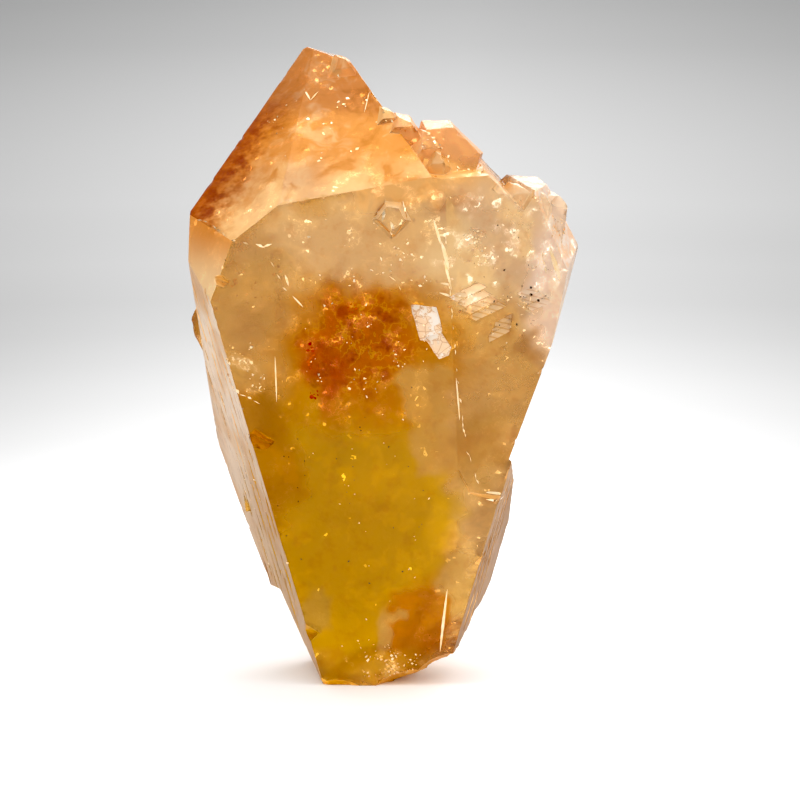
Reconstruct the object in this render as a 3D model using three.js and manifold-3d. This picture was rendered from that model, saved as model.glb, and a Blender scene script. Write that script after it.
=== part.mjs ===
// A hand specimen of golden calcite: one broad tapering crystal that stands on its broken foot, with a second
// crystal grown into its right shoulder and a row of small ones along the ridge between them. It formed as one
// piece, so it is one solid. Millimetres, +Z up, -Y towards the viewer, the origin on the flat foot that it
// stands on.
import * as THREE from "three";
import { ConvexGeometry } from "three/addons/geometries/ConvexGeometry.js";
import { mergeVertices } from "three/addons/utils/BufferGeometryUtils.js";
import Module from "manifold-3d";

const wasm = await Module();
wasm.setup();

const HONEY = 0xc48a32;

// The driving dimensions: heights above the foot, how far the faces lean, and which way they look.
const HEIGHT = 118.6;
const FRONT_LEAN = -8; // the front hangs over, so the crystal narrows down to its foot
const FRONT_AT_FOOT = -10;
const SIDE_LEAN = -16.5;
const UPPER_FACING = -13; // the broad upper face
const UPPER_LEAN = 47;
const UPPER_SHOULDER = [-17.7, -23, 92.1]; // its lower left corner
const RIGHT_SLOPE = 33;
const BACK_SLOPE = 40;
const CORNER = [-26, -22, 85.5]; // where the left slope, the corner facet and the front meet
const SHOULDER_CORNER = [24.8, -16.5, 46.3]; // where the right side starts to cut under
const FOOT_CORNER = [14, -10.9, 6.3]; // lower end of the right front edge
const HEEL = [-18.8, 2.7, 15.4]; // where the left side broke off short
const RIDGE_LEVEL = 98;
const CLEAVAGE_TILT = 45; // between a cleavage face and the long axis
const CLEAVAGE_TURN = 22;

const ON_FACE = 1e-4; // how far outside a face a corner may lie through rounding
const SAME_CORNER = 1e-3;
const GOLDEN = 0.618034; // spreads repeats so that no two line up

// ---------------------------------------------------------------- solids

const solidOf = (geometry) => {
  const bare = geometry.clone();
  bare.deleteAttribute("normal");
  bare.deleteAttribute("uv");
  const merged = mergeVertices(bare, SAME_CORNER);
  return new wasm.Manifold(
    new wasm.Mesh({
      numProp: 3,
      vertProperties: new Float32Array(merged.attributes.position.array),
      triVerts: new Uint32Array(merged.index.array),
    }),
  );
};

const geometryOf = (solid) => {
  const { vertProperties, triVerts, numProp, numVert } = solid.getMesh();
  const positions = new Float32Array(numVert * 3);
  for (let i = 0; i < numVert; i++)
    positions.set(vertProperties.subarray(i * numProp, i * numProp + 3), i * 3);
  const geometry = new THREE.BufferGeometry();
  geometry.setAttribute("position", new THREE.BufferAttribute(positions, 3));
  geometry.setIndex(new THREE.BufferAttribute(new Uint32Array(triVerts), 1));
  geometry.computeVertexNormals();
  return geometry;
};

// A direction by compass bearing and rise: facing 0 looks towards the viewer, 90 to the right and 180 to the
// back, seen from above, and lean is how far it looks up, in degrees.
const direction = (facing, lean) => {
  const bearing = THREE.MathUtils.degToRad(facing);
  const rise = THREE.MathUtils.degToRad(lean);
  return new THREE.Vector3(
    Math.sin(bearing) * Math.cos(rise),
    -Math.cos(bearing) * Math.cos(rise),
    Math.sin(rise),
  );
};

// A crystal face, by the way it looks and a point on it.
const face = (facing, lean, through) =>
  new THREE.Plane().setFromNormalAndCoplanarPoint(
    direction(facing, lean),
    new THREE.Vector3(...through),
  );

const meetingPoint = (a, b, c) => {
  const bc = new THREE.Vector3().crossVectors(b.normal, c.normal);
  const det = a.normal.dot(bc);
  if (Math.abs(det) < ON_FACE) return null;
  const ca = new THREE.Vector3().crossVectors(c.normal, a.normal);
  const ab = new THREE.Vector3().crossVectors(a.normal, b.normal);
  return bc
    .multiplyScalar(-a.constant)
    .addScaledVector(ca, -b.constant)
    .addScaledVector(ab, -c.constant)
    .divideScalar(det);
};

// The closed crystal that a set of faces bounds: its corners are where three faces meet inside all the others.
const crystalGeometry = (faces) => {
  const corners = [];
  faces.forEach((a, i) =>
    faces.slice(i + 1).forEach((b, j) =>
      faces.slice(i + j + 2).forEach((c) => {
        const point = meetingPoint(a, b, c);
        if (!point) return;
        if (faces.some((f) => f.distanceToPoint(point) > ON_FACE)) return;
        if (corners.some((p) => p.distanceTo(point) < SAME_CORNER)) return;
        corners.push(point);
      }),
    ),
  );
  return new ConvexGeometry(corners);
};

const crystalOf = (faces) => solidOf(crystalGeometry(faces));

const UP = new THREE.Vector3(0, 0, 1);

const placed = (geometry, at, axis, turn = 0) => {
  const aim = new THREE.Quaternion().setFromUnitVectors(UP, axis);
  const spin = new THREE.Quaternion().setFromAxisAngle(UP, THREE.MathUtils.degToRad(turn));
  const matrix = new THREE.Matrix4().compose(
    new THREE.Vector3(...at),
    aim.multiply(spin),
    new THREE.Vector3(1, 1, 1),
  );
  return geometry.clone().applyMatrix4(matrix);
};

// A small six-sided crystal that ends in a blunt point, given by its tip and the way it grew. Every other
// face of the point is steeper and set back, and the sides differ a little, as grown ones do.
const PRISM_SIDES = 6;
const pointCrystal = ({ tip, facing, lean, width, length, turn = 0, blunt = 56 }) => {
  const faces = [face(0, -90, [0, 0, -length])];
  for (let k = 0; k < PRISM_SIDES; k++) {
    const bearing = (k * 360) / PRISM_SIDES;
    const steep = k % 2;
    const reach = (width / 2) * (1 - 0.12 * ((k * 5) % 3));
    const side = direction(bearing, 0).multiplyScalar(reach);
    faces.push(face(bearing, 0, side.toArray()));
    faces.push(face(bearing, blunt - 10 * steep, [0, 0, -0.06 * width * steep]));
  }
  return solidOf(placed(crystalGeometry(faces), tip, direction(facing, lean), turn));
};

// ---------------------------------------------------------------- the two large crystals

// The faces that both large crystals share, because they grew side by side.
const frontFace = face(0, FRONT_LEAN, [0, FRONT_AT_FOOT, 0]);
const shoulderFace = face(15, -7, [12.5, -22.2, 86.7]);
const leftSide = face(-74, SIDE_LEAN, [-10.5, FRONT_AT_FOOT, 0.7]);
const lowerRightSide = face(77.5, SIDE_LEAN, FOOT_CORNER);
const rightUndercut = face(95, -19.6, [SHOULDER_CORNER[0] + 0.5, SHOULDER_CORNER[1], SHOULDER_CORNER[2]]);
const foot = face(0, -90, [0, 0, 0]);
const footBreak = face(69, -67.2, [1.5, FRONT_AT_FOOT, 0]); // where the foot broke away at the front right

const mainCrystal = crystalOf([
  frontFace,
  shoulderFace,
  leftSide,
  face(-95.5, -0.5, [-34.5, -8, 89]), // left side above
  rightUndercut,
  face(-56, 13, CORNER), // small corner facet
  face(-49, 40.5, CORNER), // left slope of the point
  face(UPPER_FACING, UPPER_LEAN, UPPER_SHOULDER), // broad upper face, leaning back to the tip
  face(-108.5, 27.5, [-34.8, -8, 89]), // left slope at the back
  face(90, 74, [-13.5, -1, HEIGHT]), // blunt top
  face(96, RIGHT_SLOPE, [-5, 1, HEIGHT - 2.6]), // right slope of the point
  face(180, BACK_SLOPE, [-9, 7, HEIGHT - 1.1]), // back slope of the point
  face(-145, -27.5, [-25.8, 16.1, 25.6]), // back, from left to right
  face(180, -10, [0, 20, 45]),
  face(145, -24, [24, 15, 36]),
  footBreak,
  foot,
]);

// The front face runs on past the shoulder face low down, and stops there in a stepped ledge.
const ledges = [
  face(70, 22, [17, -15.3, 37.9]),
  face(38, 66, [17, -15.3, 37.9]),
];
const aprons = ledges.map((ledge) =>
  crystalOf([
    frontFace,
    ledge,
    lowerRightSide,
    face(-90, 0, [2, 0, 0]),
    face(180, 0, [0, -6, 0]),
    footBreak,
    foot,
  ]),
);

// Low on the right the side is a slab of its own, in steps down to the broken foot.
const lowerSlab = crystalOf([
  frontFace,
  shoulderFace,
  lowerRightSide,
  face(118, 47.6, [SHOULDER_CORNER[0] - 0.3, -16.2, 44.9]), // its sloping top
  face(150, 43.6, [25.6, -1.5, 37.7]), // its back, from top to bottom
  face(150, -0.6, [25.1, 10, 27.5]),
  face(130, -49, [21.7, 11.8, 15]),
  face(120, -64, [17.8, 1.5, 9.8]),
  face(178, -8, [0, 15, 28]),
  face(-90, 0, [0, 0, 0]), // inside the main crystal
  footBreak,
  foot,
]);

// The second crystal, grown into the right shoulder of the first.
const shoulderCrystal = crystalOf([
  shoulderFace,
  frontFace,
  face(67, 17, [29, -18.4, 92.2]), // pale facet along its upper right edge
  face(80, -11.5, [35.4, -14, 82]), // right side
  rightUndercut,
  face(100, 30, [33.6, -8, 89]),
  face(20, 85, [30, -14, 94.6]), // top
  face(-70, 30, [26, -12, 94]), // the side of the gap to the ridge
  face(160, 20, [30, -3, 90]), // back
  face(150, -12, [26, 14, 60]),
  face(-90, 0, [12, 0, 0]), // inside the main crystal
  face(0, -90, [0, 0, 45]),
]);

// The ridge that joins them, sloping down to the right.
const ridge = crystalOf([
  shoulderFace,
  frontFace,
  face(12, 52, [15, -23.4, RIDGE_LEVEL - 1]),
  face(0, 82, [15, -14, RIDGE_LEVEL + 0.4]), // top
  face(90, 44, [19.5, -14, RIDGE_LEVEL - 0.1]), // slope down to the right
  face(-52, 56, [9.5, -23.6, RIDGE_LEVEL]), // dies out into the upper face
  face(170, 30, [14, 4, RIDGE_LEVEL - 1]),
  face(90, 0, [27, 0, 0]), // inside the two crystals
  face(-90, 0, [-3, 0, 0]),
  face(0, -90, [0, 0, 70]),
]);

// The largest of the small crystals on the ridge, with one broad flat face.
const ridgeCrystal = crystalOf([
  face(14, 38, [13, -16, 101]), // the broad face
  face(90, 45, [17, -12, 102.2]),
  face(85, -15, [18.8, -14, 100.4]),
  face(-10, 82, [10.9, -12, 105.2]),
  face(-82, 12, [8.4, -14, 103]),
  face(175, 30, [13, -5, 103]),
  face(0, -60, [13, -18, 94]),
  face(0, -90, [0, 0, 92]),
]);

// Small crystals that grew parallel to the main one, so their points repeat the directions of its faces.
const parallelCrystal = ({ tip, width, depth = width, length, flat = 0.14, swing = 0 }) => {
  const [x, y, z] = tip;
  return crystalOf([
    face(UPPER_FACING + swing, UPPER_LEAN, tip),
    face(-62 + swing, 36, tip),
    face(96 + swing, RIGHT_SLOPE, tip),
    face(180 + swing, BACK_SLOPE, tip),
    face(60 + swing, 76, [x, y, z - flat * width]),
    face(-6 + swing, -6, [x, y - depth / 2, z - depth / 2]),
    face(-93 + swing, -3, [x - width / 2, y, z - width / 2]),
    face(84 + swing, -9, [x + width / 2, y, z - width / 2]),
    face(178, -10, [x, y + depth / 2, z - depth / 2]),
    face(0, -90, [x, y, z - length]),
  ]);
};

const parallelCrystals = [
  { tip: [-7, 1.4, 118.1], width: 7, length: 14 }, // beside the point
  { tip: [1.4, -9.4, 109.5], width: 8, depth: 6, length: 18, swing: 6 }, // down the ridge
  { tip: [4.6, -11, 109], width: 9, depth: 8, length: 18, flat: 0.2, swing: -8 },
  { tip: [8.4, -14, 105.4], width: 6.4, depth: 8, length: 14, flat: 0.1, swing: 9 },
  { tip: [11, -18.4, 102], width: 5, depth: 6, length: 10, swing: -14 },
  { tip: [25, -14.4, 96.3], width: 6, length: 14, flat: 0.2, swing: 12 }, // on the shoulder
  { tip: [28.4, -12.6, 96.3], width: 8, length: 15, flat: 0.24, swing: -6 },
  { tip: [31.4, -11, 95], width: 6.6, length: 14, flat: 0.28, swing: 10 },
];

const pointCrystals = [
  { tip: [-34.4, 8, 70.5], facing: -70, lean: 62, width: 8, length: 14, turn: 15, blunt: 44 }, // at the left
  { tip: [-14, 23, 90], facing: -170, lean: 72, width: 21, length: 52, turn: 10, blunt: 48 }, // at the back
  { tip: [5, 24, 76], facing: 170, lean: 72, width: 18, length: 44, turn: 35, blunt: 50 },
  { tip: [20, 18, 82], facing: 150, lean: 76, width: 16, length: 44, turn: 0, blunt: 46 },
  { tip: [-25, 20, 62], facing: -150, lean: 74, width: 13, length: 34, turn: 25, blunt: 52 },
  { tip: [-3, 25, 56], facing: 178, lean: 70, width: 12, length: 26, turn: 50, blunt: 52 },
  { tip: [12, 17, 96], facing: 165, lean: 74, width: 13, length: 30, turn: 20, blunt: 44 },
  { tip: [-20, 15, 106], facing: -160, lean: 70, width: 9, length: 22, turn: 40, blunt: 48 },
];

// A small clear crystal that lies in the front face with its many faces outward.
const jewel = crystalOf([
  face(-62, 28, [-0.3, -22.6, 90.5]),
  face(-50, -38, [1, -22.6, 87.6]),
  face(48, -40, [4.4, -22.6, 87.6]),
  face(64, 24, [5.6, -22.6, 90.5]),
  face(10, 62, [3, -22.6, 93]),
  face(-6, -6, [2.7, -24.4, 89.8]), // its flat front
  face(180, 0, [0, -19.4, 0]), // inside the main crystal
]);

// The left side broke back to a heel below this level.
const heelBreak = crystalOf([
  face(95, 25.5, HEEL), // the broken side
  face(150, 80, HEEL), // the small step above it
  face(-90, 0, [-60, 0, 0]),
  face(0, 0, [0, -40, 0]),
  face(180, 0, [0, 40, 0]),
  face(0, -90, [0, 0, -5]),
]);

const grown = wasm.Manifold.union([
  mainCrystal,
  ...aprons,
  lowerSlab,
  shoulderCrystal,
  ridge,
  ridgeCrystal,
  ...parallelCrystals.map(parallelCrystal),
  ...pointCrystals.map(pointCrystal),
  jewel,
]);

// ---------------------------------------------------------------- what is broken, chipped or etched away

// A shell-shaped break: a large ball that cuts `depth` into the place where it is put.
const BALL_DETAIL = 9;
const shellBreak = ({ at, facing, lean, radius, depth }, index) => {
  const ball = new THREE.IcosahedronGeometry(radius, BALL_DETAIL);
  ball.rotateX(index);
  ball.rotateZ(2 * index);
  const out = direction(facing, lean).multiplyScalar(radius - depth);
  ball.translate(at[0] + out.x, at[1] + out.y, at[2] + out.z);
  return solidOf(ball);
};

const shellBreaks = [
  { at: [5.4, -9.6, 1.2], facing: 20, lean: -62, radius: 12, depth: 1.3 }, // the broken foot
  { at: [11.8, -9.4, 4.6], facing: 55, lean: -66, radius: 9, depth: 1.1 },
  { at: [-6, -10, -0.4], facing: -10, lean: -40, radius: 14, depth: 0.8 },
  { at: [1, 12, 2], facing: 180, lean: -40, radius: 18, depth: 2 },
  { at: [-13, 20, 34], facing: -165, lean: -10, radius: 26, depth: 2.4 }, // where it broke from its rock
  { at: [-1, 19, 22], facing: 175, lean: -20, radius: 22, depth: 2.6 },
  { at: [13, 18, 36], facing: 160, lean: -12, radius: 24, depth: 2.4 },
  { at: [-2, 21, 43], facing: 180, lean: -4, radius: 16, depth: 2 },
];

// A chip along the cleavage. Calcite splits on three directions only, the same all through the crystal, so
// each chip is one corner of the same leaning block, brought in until it cuts `depth` deep.
const cleavageNormals = [0, 120, 240].map((k) => direction(CLEAVAGE_TURN + k, CLEAVAGE_TILT));
const cleavageBlock = crystalGeometry(
  cleavageNormals.flatMap((n) => [
    new THREE.Plane(n.clone(), -1),
    new THREE.Plane(n.clone().negate(), -1),
  ]),
);

const chip = ({ at, facing, lean, size, depth }) => {
  const block = cleavageBlock.clone().scale(size, size, size);
  const out = direction(facing, lean);
  const corners = block.attributes.position;
  let reach = 0;
  for (let i = 0; i < corners.count; i++)
    reach = Math.max(reach, -out.dot(new THREE.Vector3().fromBufferAttribute(corners, i)));
  out.multiplyScalar(reach - depth);
  return solidOf(block.translate(at[0] + out.x, at[1] + out.y, at[2] + out.z));
};

const chips = [
  { at: [-10.6, -10, 0.6], facing: -40, lean: -40, size: 5, depth: 1.2 }, // round the foot
  { at: [-11.4, 6, 0.8], facing: -110, lean: -30, size: 6, depth: 1.6 },
  { at: [16.6, 3, 10], facing: 110, lean: -50, size: 5, depth: 1.2 },
  { at: [14.4, -8, 5.6], facing: 80, lean: -40, size: 3, depth: 0.8 },
  { at: [31.6, -15.4, 62.4], facing: 80, lean: -25, size: 3, depth: 1.4 }, // down the right side
  { at: [29.4, -15, 56], facing: 85, lean: 0, size: 3, depth: 0.6 },
  { at: [27.4, -15.6, 51], facing: 80, lean: -20, size: 2, depth: 0.5 },
  { at: [36.2, -13, 83.6], facing: 75, lean: 10, size: 3, depth: 0.8 },
  { at: [35, -14.8, 78], facing: 60, lean: 0, size: 2, depth: 0.5 },
  { at: [34, -15.4, 72], facing: 60, lean: 0, size: 3, depth: 0.6 },
  { at: [24.9, -16, 45.6], facing: 95, lean: 30, size: 2, depth: 0.8 },
  { at: [21.6, -15.2, 35.6], facing: 60, lean: 10, size: 3, depth: 0.7 },
  { at: [18.6, -13.2, 25], facing: 50, lean: -10, size: 2, depth: 0.5 },
  { at: [26, -2, 37.4], facing: 120, lean: 40, size: 4, depth: 0.9 },
  { at: [-34.8, -8, 88.6], facing: -80, lean: 10, size: 3, depth: 0.8 }, // down the left side
  { at: [-35, -2, 76], facing: -95, lean: 0, size: 4, depth: 0.7 },
  { at: [-33.5, 4, 62], facing: -100, lean: 0, size: 4, depth: 0.8 },
  { at: [-31.6, 20, 44], facing: -120, lean: -10, size: 7, depth: 1.8 },
  { at: [-26, 16, 27], facing: -120, lean: -20, size: 5, depth: 1.4 },
  { at: [-27.2, -20.4, 79], facing: -40, lean: 0, size: 3, depth: 0.35 },
  { at: [-19.6, -16.9, 49], facing: -60, lean: -20, size: 2, depth: 0.3 },
  { at: [-12.2, -11.6, 12], facing: -60, lean: -30, size: 2, depth: 0.35 },
  { at: [-26, -22, 86.6], facing: -30, lean: 25, size: 3, depth: 0.7 }, // round the upper face
  { at: [-17.7, -23, 92.3], facing: -20, lean: 20, size: 3, depth: 0.6 },
  { at: [-9, -23.4, 94.3], facing: -10, lean: 25, size: 2, depth: 0.45 },
  { at: [1, -23.8, 96], facing: -8, lean: 25, size: 3, depth: 0.5 },
  { at: [-21, -14, 102], facing: -40, lean: 40, size: 2, depth: 0.5 },
  { at: [-15.5, -2, 117.6], facing: -60, lean: 50, size: 3, depth: 0.7 },
  { at: [-10.4, 1, 117.8], facing: 20, lean: 70, size: 2, depth: 0.7 },
  { at: [-3.4, -4, 113], facing: 60, lean: 45, size: 3, depth: 0.7 },
  { at: [-0.4, -7, 110], facing: 60, lean: 45, size: 2, depth: 0.6 },
  { at: [17, -13, 103], facing: 60, lean: 55, size: 2, depth: 0.6 },
  { at: [21.8, -18, 95.8], facing: 70, lean: 50, size: 3, depth: 0.8 },
  { at: [23.4, -20, 94], facing: 40, lean: 50, size: 2, depth: 0.5 },
  { at: [33.6, -14, 90.6], facing: 70, lean: 50, size: 2, depth: 0.7 },
  { at: [-31, 14, 84], facing: -120, lean: 30, size: 7, depth: 1.6 }, // over the back
  { at: [26, 12, 66], facing: 130, lean: 0, size: 7, depth: 1.4 },
  { at: [0, 14, 112], facing: 160, lean: 60, size: 4, depth: 1 },
];

// A shallow slanted recess in a face, where a sliver split off: half its width and height, how far it is
// rolled round in the face and its sides lean over, and how deep its floor lies in the middle and drops to
// the right and to the top.
const recess = ({ on, at, wide, high, roll = 0, shear = 0, depth, drop = [0, 0] }) => {
  const out = on.normal;
  const level = new THREE.Vector3().crossVectors(UP, out).normalize();
  const right = level.applyAxisAngle(out, THREE.MathUtils.degToRad(roll));
  const up = new THREE.Vector3().crossVectors(out, right);
  const middle = on.projectPoint(new THREE.Vector3(...at), new THREE.Vector3());
  const corners = [-1, 1].flatMap((sx) =>
    [-1, 1].flatMap((sy) =>
      [2, -(depth + sx * drop[0] + sy * drop[1])].map((height) =>
        middle
          .clone()
          .addScaledVector(right, sx * wide + sy * shear)
          .addScaledVector(up, sy * high)
          .addScaledVector(out, height),
      ),
    ),
  );
  return solidOf(new ConvexGeometry(corners));
};

// Recesses that follow each other like stairs up a face, in uneven steps.
const stairs = ({ at, steps, rise, wide, shear, ...tread }) =>
  Array.from({ length: steps }, (_, i) =>
    recess({
      ...tread,
      at: [at[0] + (2 * shear - 0.3) * i, at[1], at[2] + rise * i],
      wide: wide - 0.2 * (i % 3),
      high: rise / 2,
      shear,
      depth: 0.2 + 0.06 * ((i * 2) % 3),
      drop: [0, 0.2],
    }),
  );

const recesses = [
  recess({
    on: frontFace,
    at: [9.2, -19.7, 70.2],
    wide: 2.3,
    high: 3.2,
    roll: -6,
    shear: -1.2,
    depth: 0.4,
    drop: [-0.3, 0.3],
  }),
  recess({
    on: frontFace,
    at: [11.4, -19.4, 66],
    wide: 1.5,
    high: 2.2,
    roll: 22,
    shear: -0.4,
    depth: 0.35,
    drop: [-0.2, 0.3],
  }),
  ...stairs({ on: shoulderFace, at: [20, -18.6, 72.2], wide: 3, roll: 24, shear: -0.5, steps: 4, rise: 1.3 }),
  ...stairs({ on: shoulderFace, at: [22.2, -17.1, 68], wide: 2.1, roll: 26, shear: 0.3, steps: 3, rise: 1.1 }),
  ...stairs({ on: shoulderFace, at: [29.4, -15.9, 73.2], wide: 2, roll: 20, shear: -0.4, steps: 3, rise: 1.2 }),
];

// A thin pointed groove that runs down a face, as etching leaves it.
const groove = ({ at, along, out, width, depth, length }) => {
  const sliver = new THREE.OctahedronGeometry(1);
  const side = new THREE.Vector3().crossVectors(out, along).normalize();
  sliver.applyMatrix4(
    new THREE.Matrix4()
      .makeBasis(
        side.clone().multiplyScalar(width / 2),
        out.clone().multiplyScalar(depth),
        along.clone().multiplyScalar(length / 2),
      )
      .setPosition(at),
  );
  return solidOf(sliver);
};

// Grooves that are spread over a side face between two heights, each a little longer or shorter than the last.
const etched = ({ side, top, low, across, count, width }) => {
  const run = new THREE.Vector3(...low).sub(new THREE.Vector3(...top));
  const along = run.clone().projectOnPlane(side.normal).normalize();
  const aside = new THREE.Vector3().crossVectors(side.normal, along).normalize();
  if (aside.y < 0) aside.negate();
  return Array.from({ length: count }, (_, i) => {
    const drop = (i * GOLDEN) % 1;
    const spread = (i + 0.5) / count;
    const at = new THREE.Vector3(...top)
      .addScaledVector(run, 0.06 + 0.88 * drop)
      .addScaledVector(aside, across[0] + (across[1] - across[0]) * spread);
    const length = 7 + 9 * ((i * GOLDEN * 3) % 1);
    return groove({
      at: side.projectPoint(at, new THREE.Vector3()),
      along,
      out: side.normal,
      width: width * (0.7 + 0.6 * ((i * GOLDEN * 7) % 1)),
      depth: 0.5,
      length,
    });
  });
};

const grooves = [
  ...etched({
    side: leftSide,
    top: [-31, -20, 80],
    low: [-12, -11, 6],
    across: [1.5, 25],
    count: 30,
    width: 0.9,
  }),
  ...etched({
    side: lowerRightSide,
    top: [24, -15.5, 42],
    low: [15, -11.2, 9],
    across: [1.5, 16],
    count: 14,
    width: 0.8,
  }),
];

const broken = wasm.Manifold.union([
  heelBreak,
  ...shellBreaks.map(shellBreak),
  ...chips.map(chip),
  ...recesses,
  ...grooves,
]);
const specimen = grown.subtract(broken);

// ---------------------------------------------------------------- the part

const calcite = new THREE.MeshStandardMaterial({
  name: "calcite",
  color: HONEY,
  roughness: 0.12,
  metalness: 0,
  flatShading: true,
});

const crystal = new THREE.Mesh(geometryOf(specimen), calcite);
crystal.name = "calcite_crystal";

const part = new THREE.Group();
part.add(crystal);
export default part;
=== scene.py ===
import math
import random

import bmesh
import bpy
import numpy as np
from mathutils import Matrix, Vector, geometry, noise
from mathutils.bvhtree import BVHTree


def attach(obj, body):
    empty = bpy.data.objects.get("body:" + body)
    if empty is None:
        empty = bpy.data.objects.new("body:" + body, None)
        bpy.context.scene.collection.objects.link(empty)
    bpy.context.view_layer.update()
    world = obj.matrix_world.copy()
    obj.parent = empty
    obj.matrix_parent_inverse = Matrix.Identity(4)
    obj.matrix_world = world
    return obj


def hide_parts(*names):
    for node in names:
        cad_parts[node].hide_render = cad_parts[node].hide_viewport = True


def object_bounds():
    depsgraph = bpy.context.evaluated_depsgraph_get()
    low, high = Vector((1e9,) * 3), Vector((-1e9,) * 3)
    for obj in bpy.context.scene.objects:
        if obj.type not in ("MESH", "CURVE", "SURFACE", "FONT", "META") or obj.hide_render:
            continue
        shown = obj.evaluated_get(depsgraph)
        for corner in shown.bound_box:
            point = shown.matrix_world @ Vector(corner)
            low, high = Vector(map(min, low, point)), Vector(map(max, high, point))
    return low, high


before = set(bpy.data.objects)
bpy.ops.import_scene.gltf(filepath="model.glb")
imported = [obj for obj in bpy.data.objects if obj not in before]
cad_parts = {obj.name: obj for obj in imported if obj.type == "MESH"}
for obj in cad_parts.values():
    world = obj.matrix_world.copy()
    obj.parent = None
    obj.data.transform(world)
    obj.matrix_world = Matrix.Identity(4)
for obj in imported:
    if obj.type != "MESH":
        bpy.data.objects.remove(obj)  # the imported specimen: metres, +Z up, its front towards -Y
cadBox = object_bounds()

mm = 0.001
scene = bpy.context.scene


# sRGB hex to the linear colour that Blender's sockets take
def linearColour(hexColour):
    channels = [int(hexColour[i : i + 2], 16) / 255 for i in (1, 3, 5)]
    return tuple(c / 12.92 if c <= 0.04045 else ((c + 0.055) / 1.055) ** 2.4 for c in channels) + (1.0,)


# adds one node with its settings and links: a socket gets linked, a hex colour turned linear
def addNode(tree, kind, inputs=None, **settings):
    node = tree.nodes.new("ShaderNode" + kind)
    for name, value in settings.items():
        setattr(node, name, value)
    for socket, value in (inputs or {}).items():
        if isinstance(value, bpy.types.NodeSocket):
            tree.links.new(value, node.inputs[socket])
        else:
            node.inputs[socket].default_value = linearColour(value) if isinstance(value, str) else value
    return node


def newMaterial(name):
    material = bpy.data.materials.new(name)
    material.use_nodes = True
    tree = material.node_tree
    tree.nodes.clear()
    output = addNode(tree, "OutputMaterial")
    return material, tree, output


def direction(facing, lean):  # facing 0 looks towards the viewer and 90 to the right, lean is how far up
    turn, rise = math.radians(facing), math.radians(lean)
    return Vector((math.sin(turn) * math.cos(rise), -math.cos(turn) * math.cos(rise), math.sin(rise)))


# Camera, floor and light

cameraSetup = {
    "aim": (4.1, 0, 52.7),  # mm
    "distance": 600,  # mm
    "elevation": 10,  # degrees
    "span": 150.4,  # mm across the frame at the specimen
    "sensor": 36,  # mm
    "clip": (0.02, 30),  # metres
}


def makeCamera(setup):
    camera = bpy.data.objects.new("camera", bpy.data.cameras.new("camera"))
    scene.collection.objects.link(camera)
    rise = math.radians(setup["elevation"])
    back = Vector((0, -math.cos(rise), math.sin(rise)))
    camera.location = (Vector(setup["aim"]) + back * setup["distance"]) * mm
    camera.rotation_euler = (-back).to_track_quat("-Z", "Y").to_euler()
    camera.data.sensor_width = setup["sensor"]
    camera.data.lens = setup["sensor"] * setup["distance"] / setup["span"]
    camera.data.clip_start, camera.data.clip_end = setup["clip"]
    scene.camera = camera


makeCamera(cameraSetup)

studio = {
    "floorRadius": 9.0,  # metres
    "floorDrop": 0.02,  # mm under the specimen's foot
    # how the paper is painted greyer with distance, a painted pool of light round the specimen: metres, shade
    "paintedLightFalloff": [
        (0.16, "#f8f8f8"), (0.2, "#ececec"), (0.252, "#dcdcdc"), (0.3, "#d3d3d3"), (0.333, "#cfcfcf"),
        (0.369, "#cacaca"), (0.43, "#c5c5c5"), (0.5, "#c5c5c5"), (0.55, "#c9c9c9"), (0.6, "#cdcdcd"),
        (0.8, "#d1d1d1"), (1.03, "#cdcdcd"), (1.35, "#c5c5c5"), (1.87, "#b7b7b7"), (2.52, "#adadad"),
    ],
    # the painted pool of light narrows to both sides too, as a fan that starts this far out: metres, then slopes and
    # shades
    "fan": {"from": -0.591, "turned": 0.012, "middle": 0.01, "side": 0.14, "bright": 1.07, "dim": 0.79},
    "paperRough": 0.9,
    "paperShine": 0.1,
    "sky": (0.7, 1.0),  # how bright at the horizon, and from 0.8 up
    "skyBend": 0.8,
    "leftWall": {"dark": 0.3, "from": -0.95, "to": -0.3},  # the room is darker on the left
    "lamps": {
        "softboxBehind": {"at": (0.10, 0.36, 0.36), "size": 0.26, "watts": 0.46},
        "softboxOver": {"at": (-0.22, -0.12, 0.44), "size": 0.26, "watts": 0.3},
        "fillRight": {"at": (0.36, -0.16, 0.22), "size": 0.2, "watts": 0.12},
    },
    "exposure": 0.3,
    "black": 0.028,  # a little more depth in the darks
}
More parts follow.
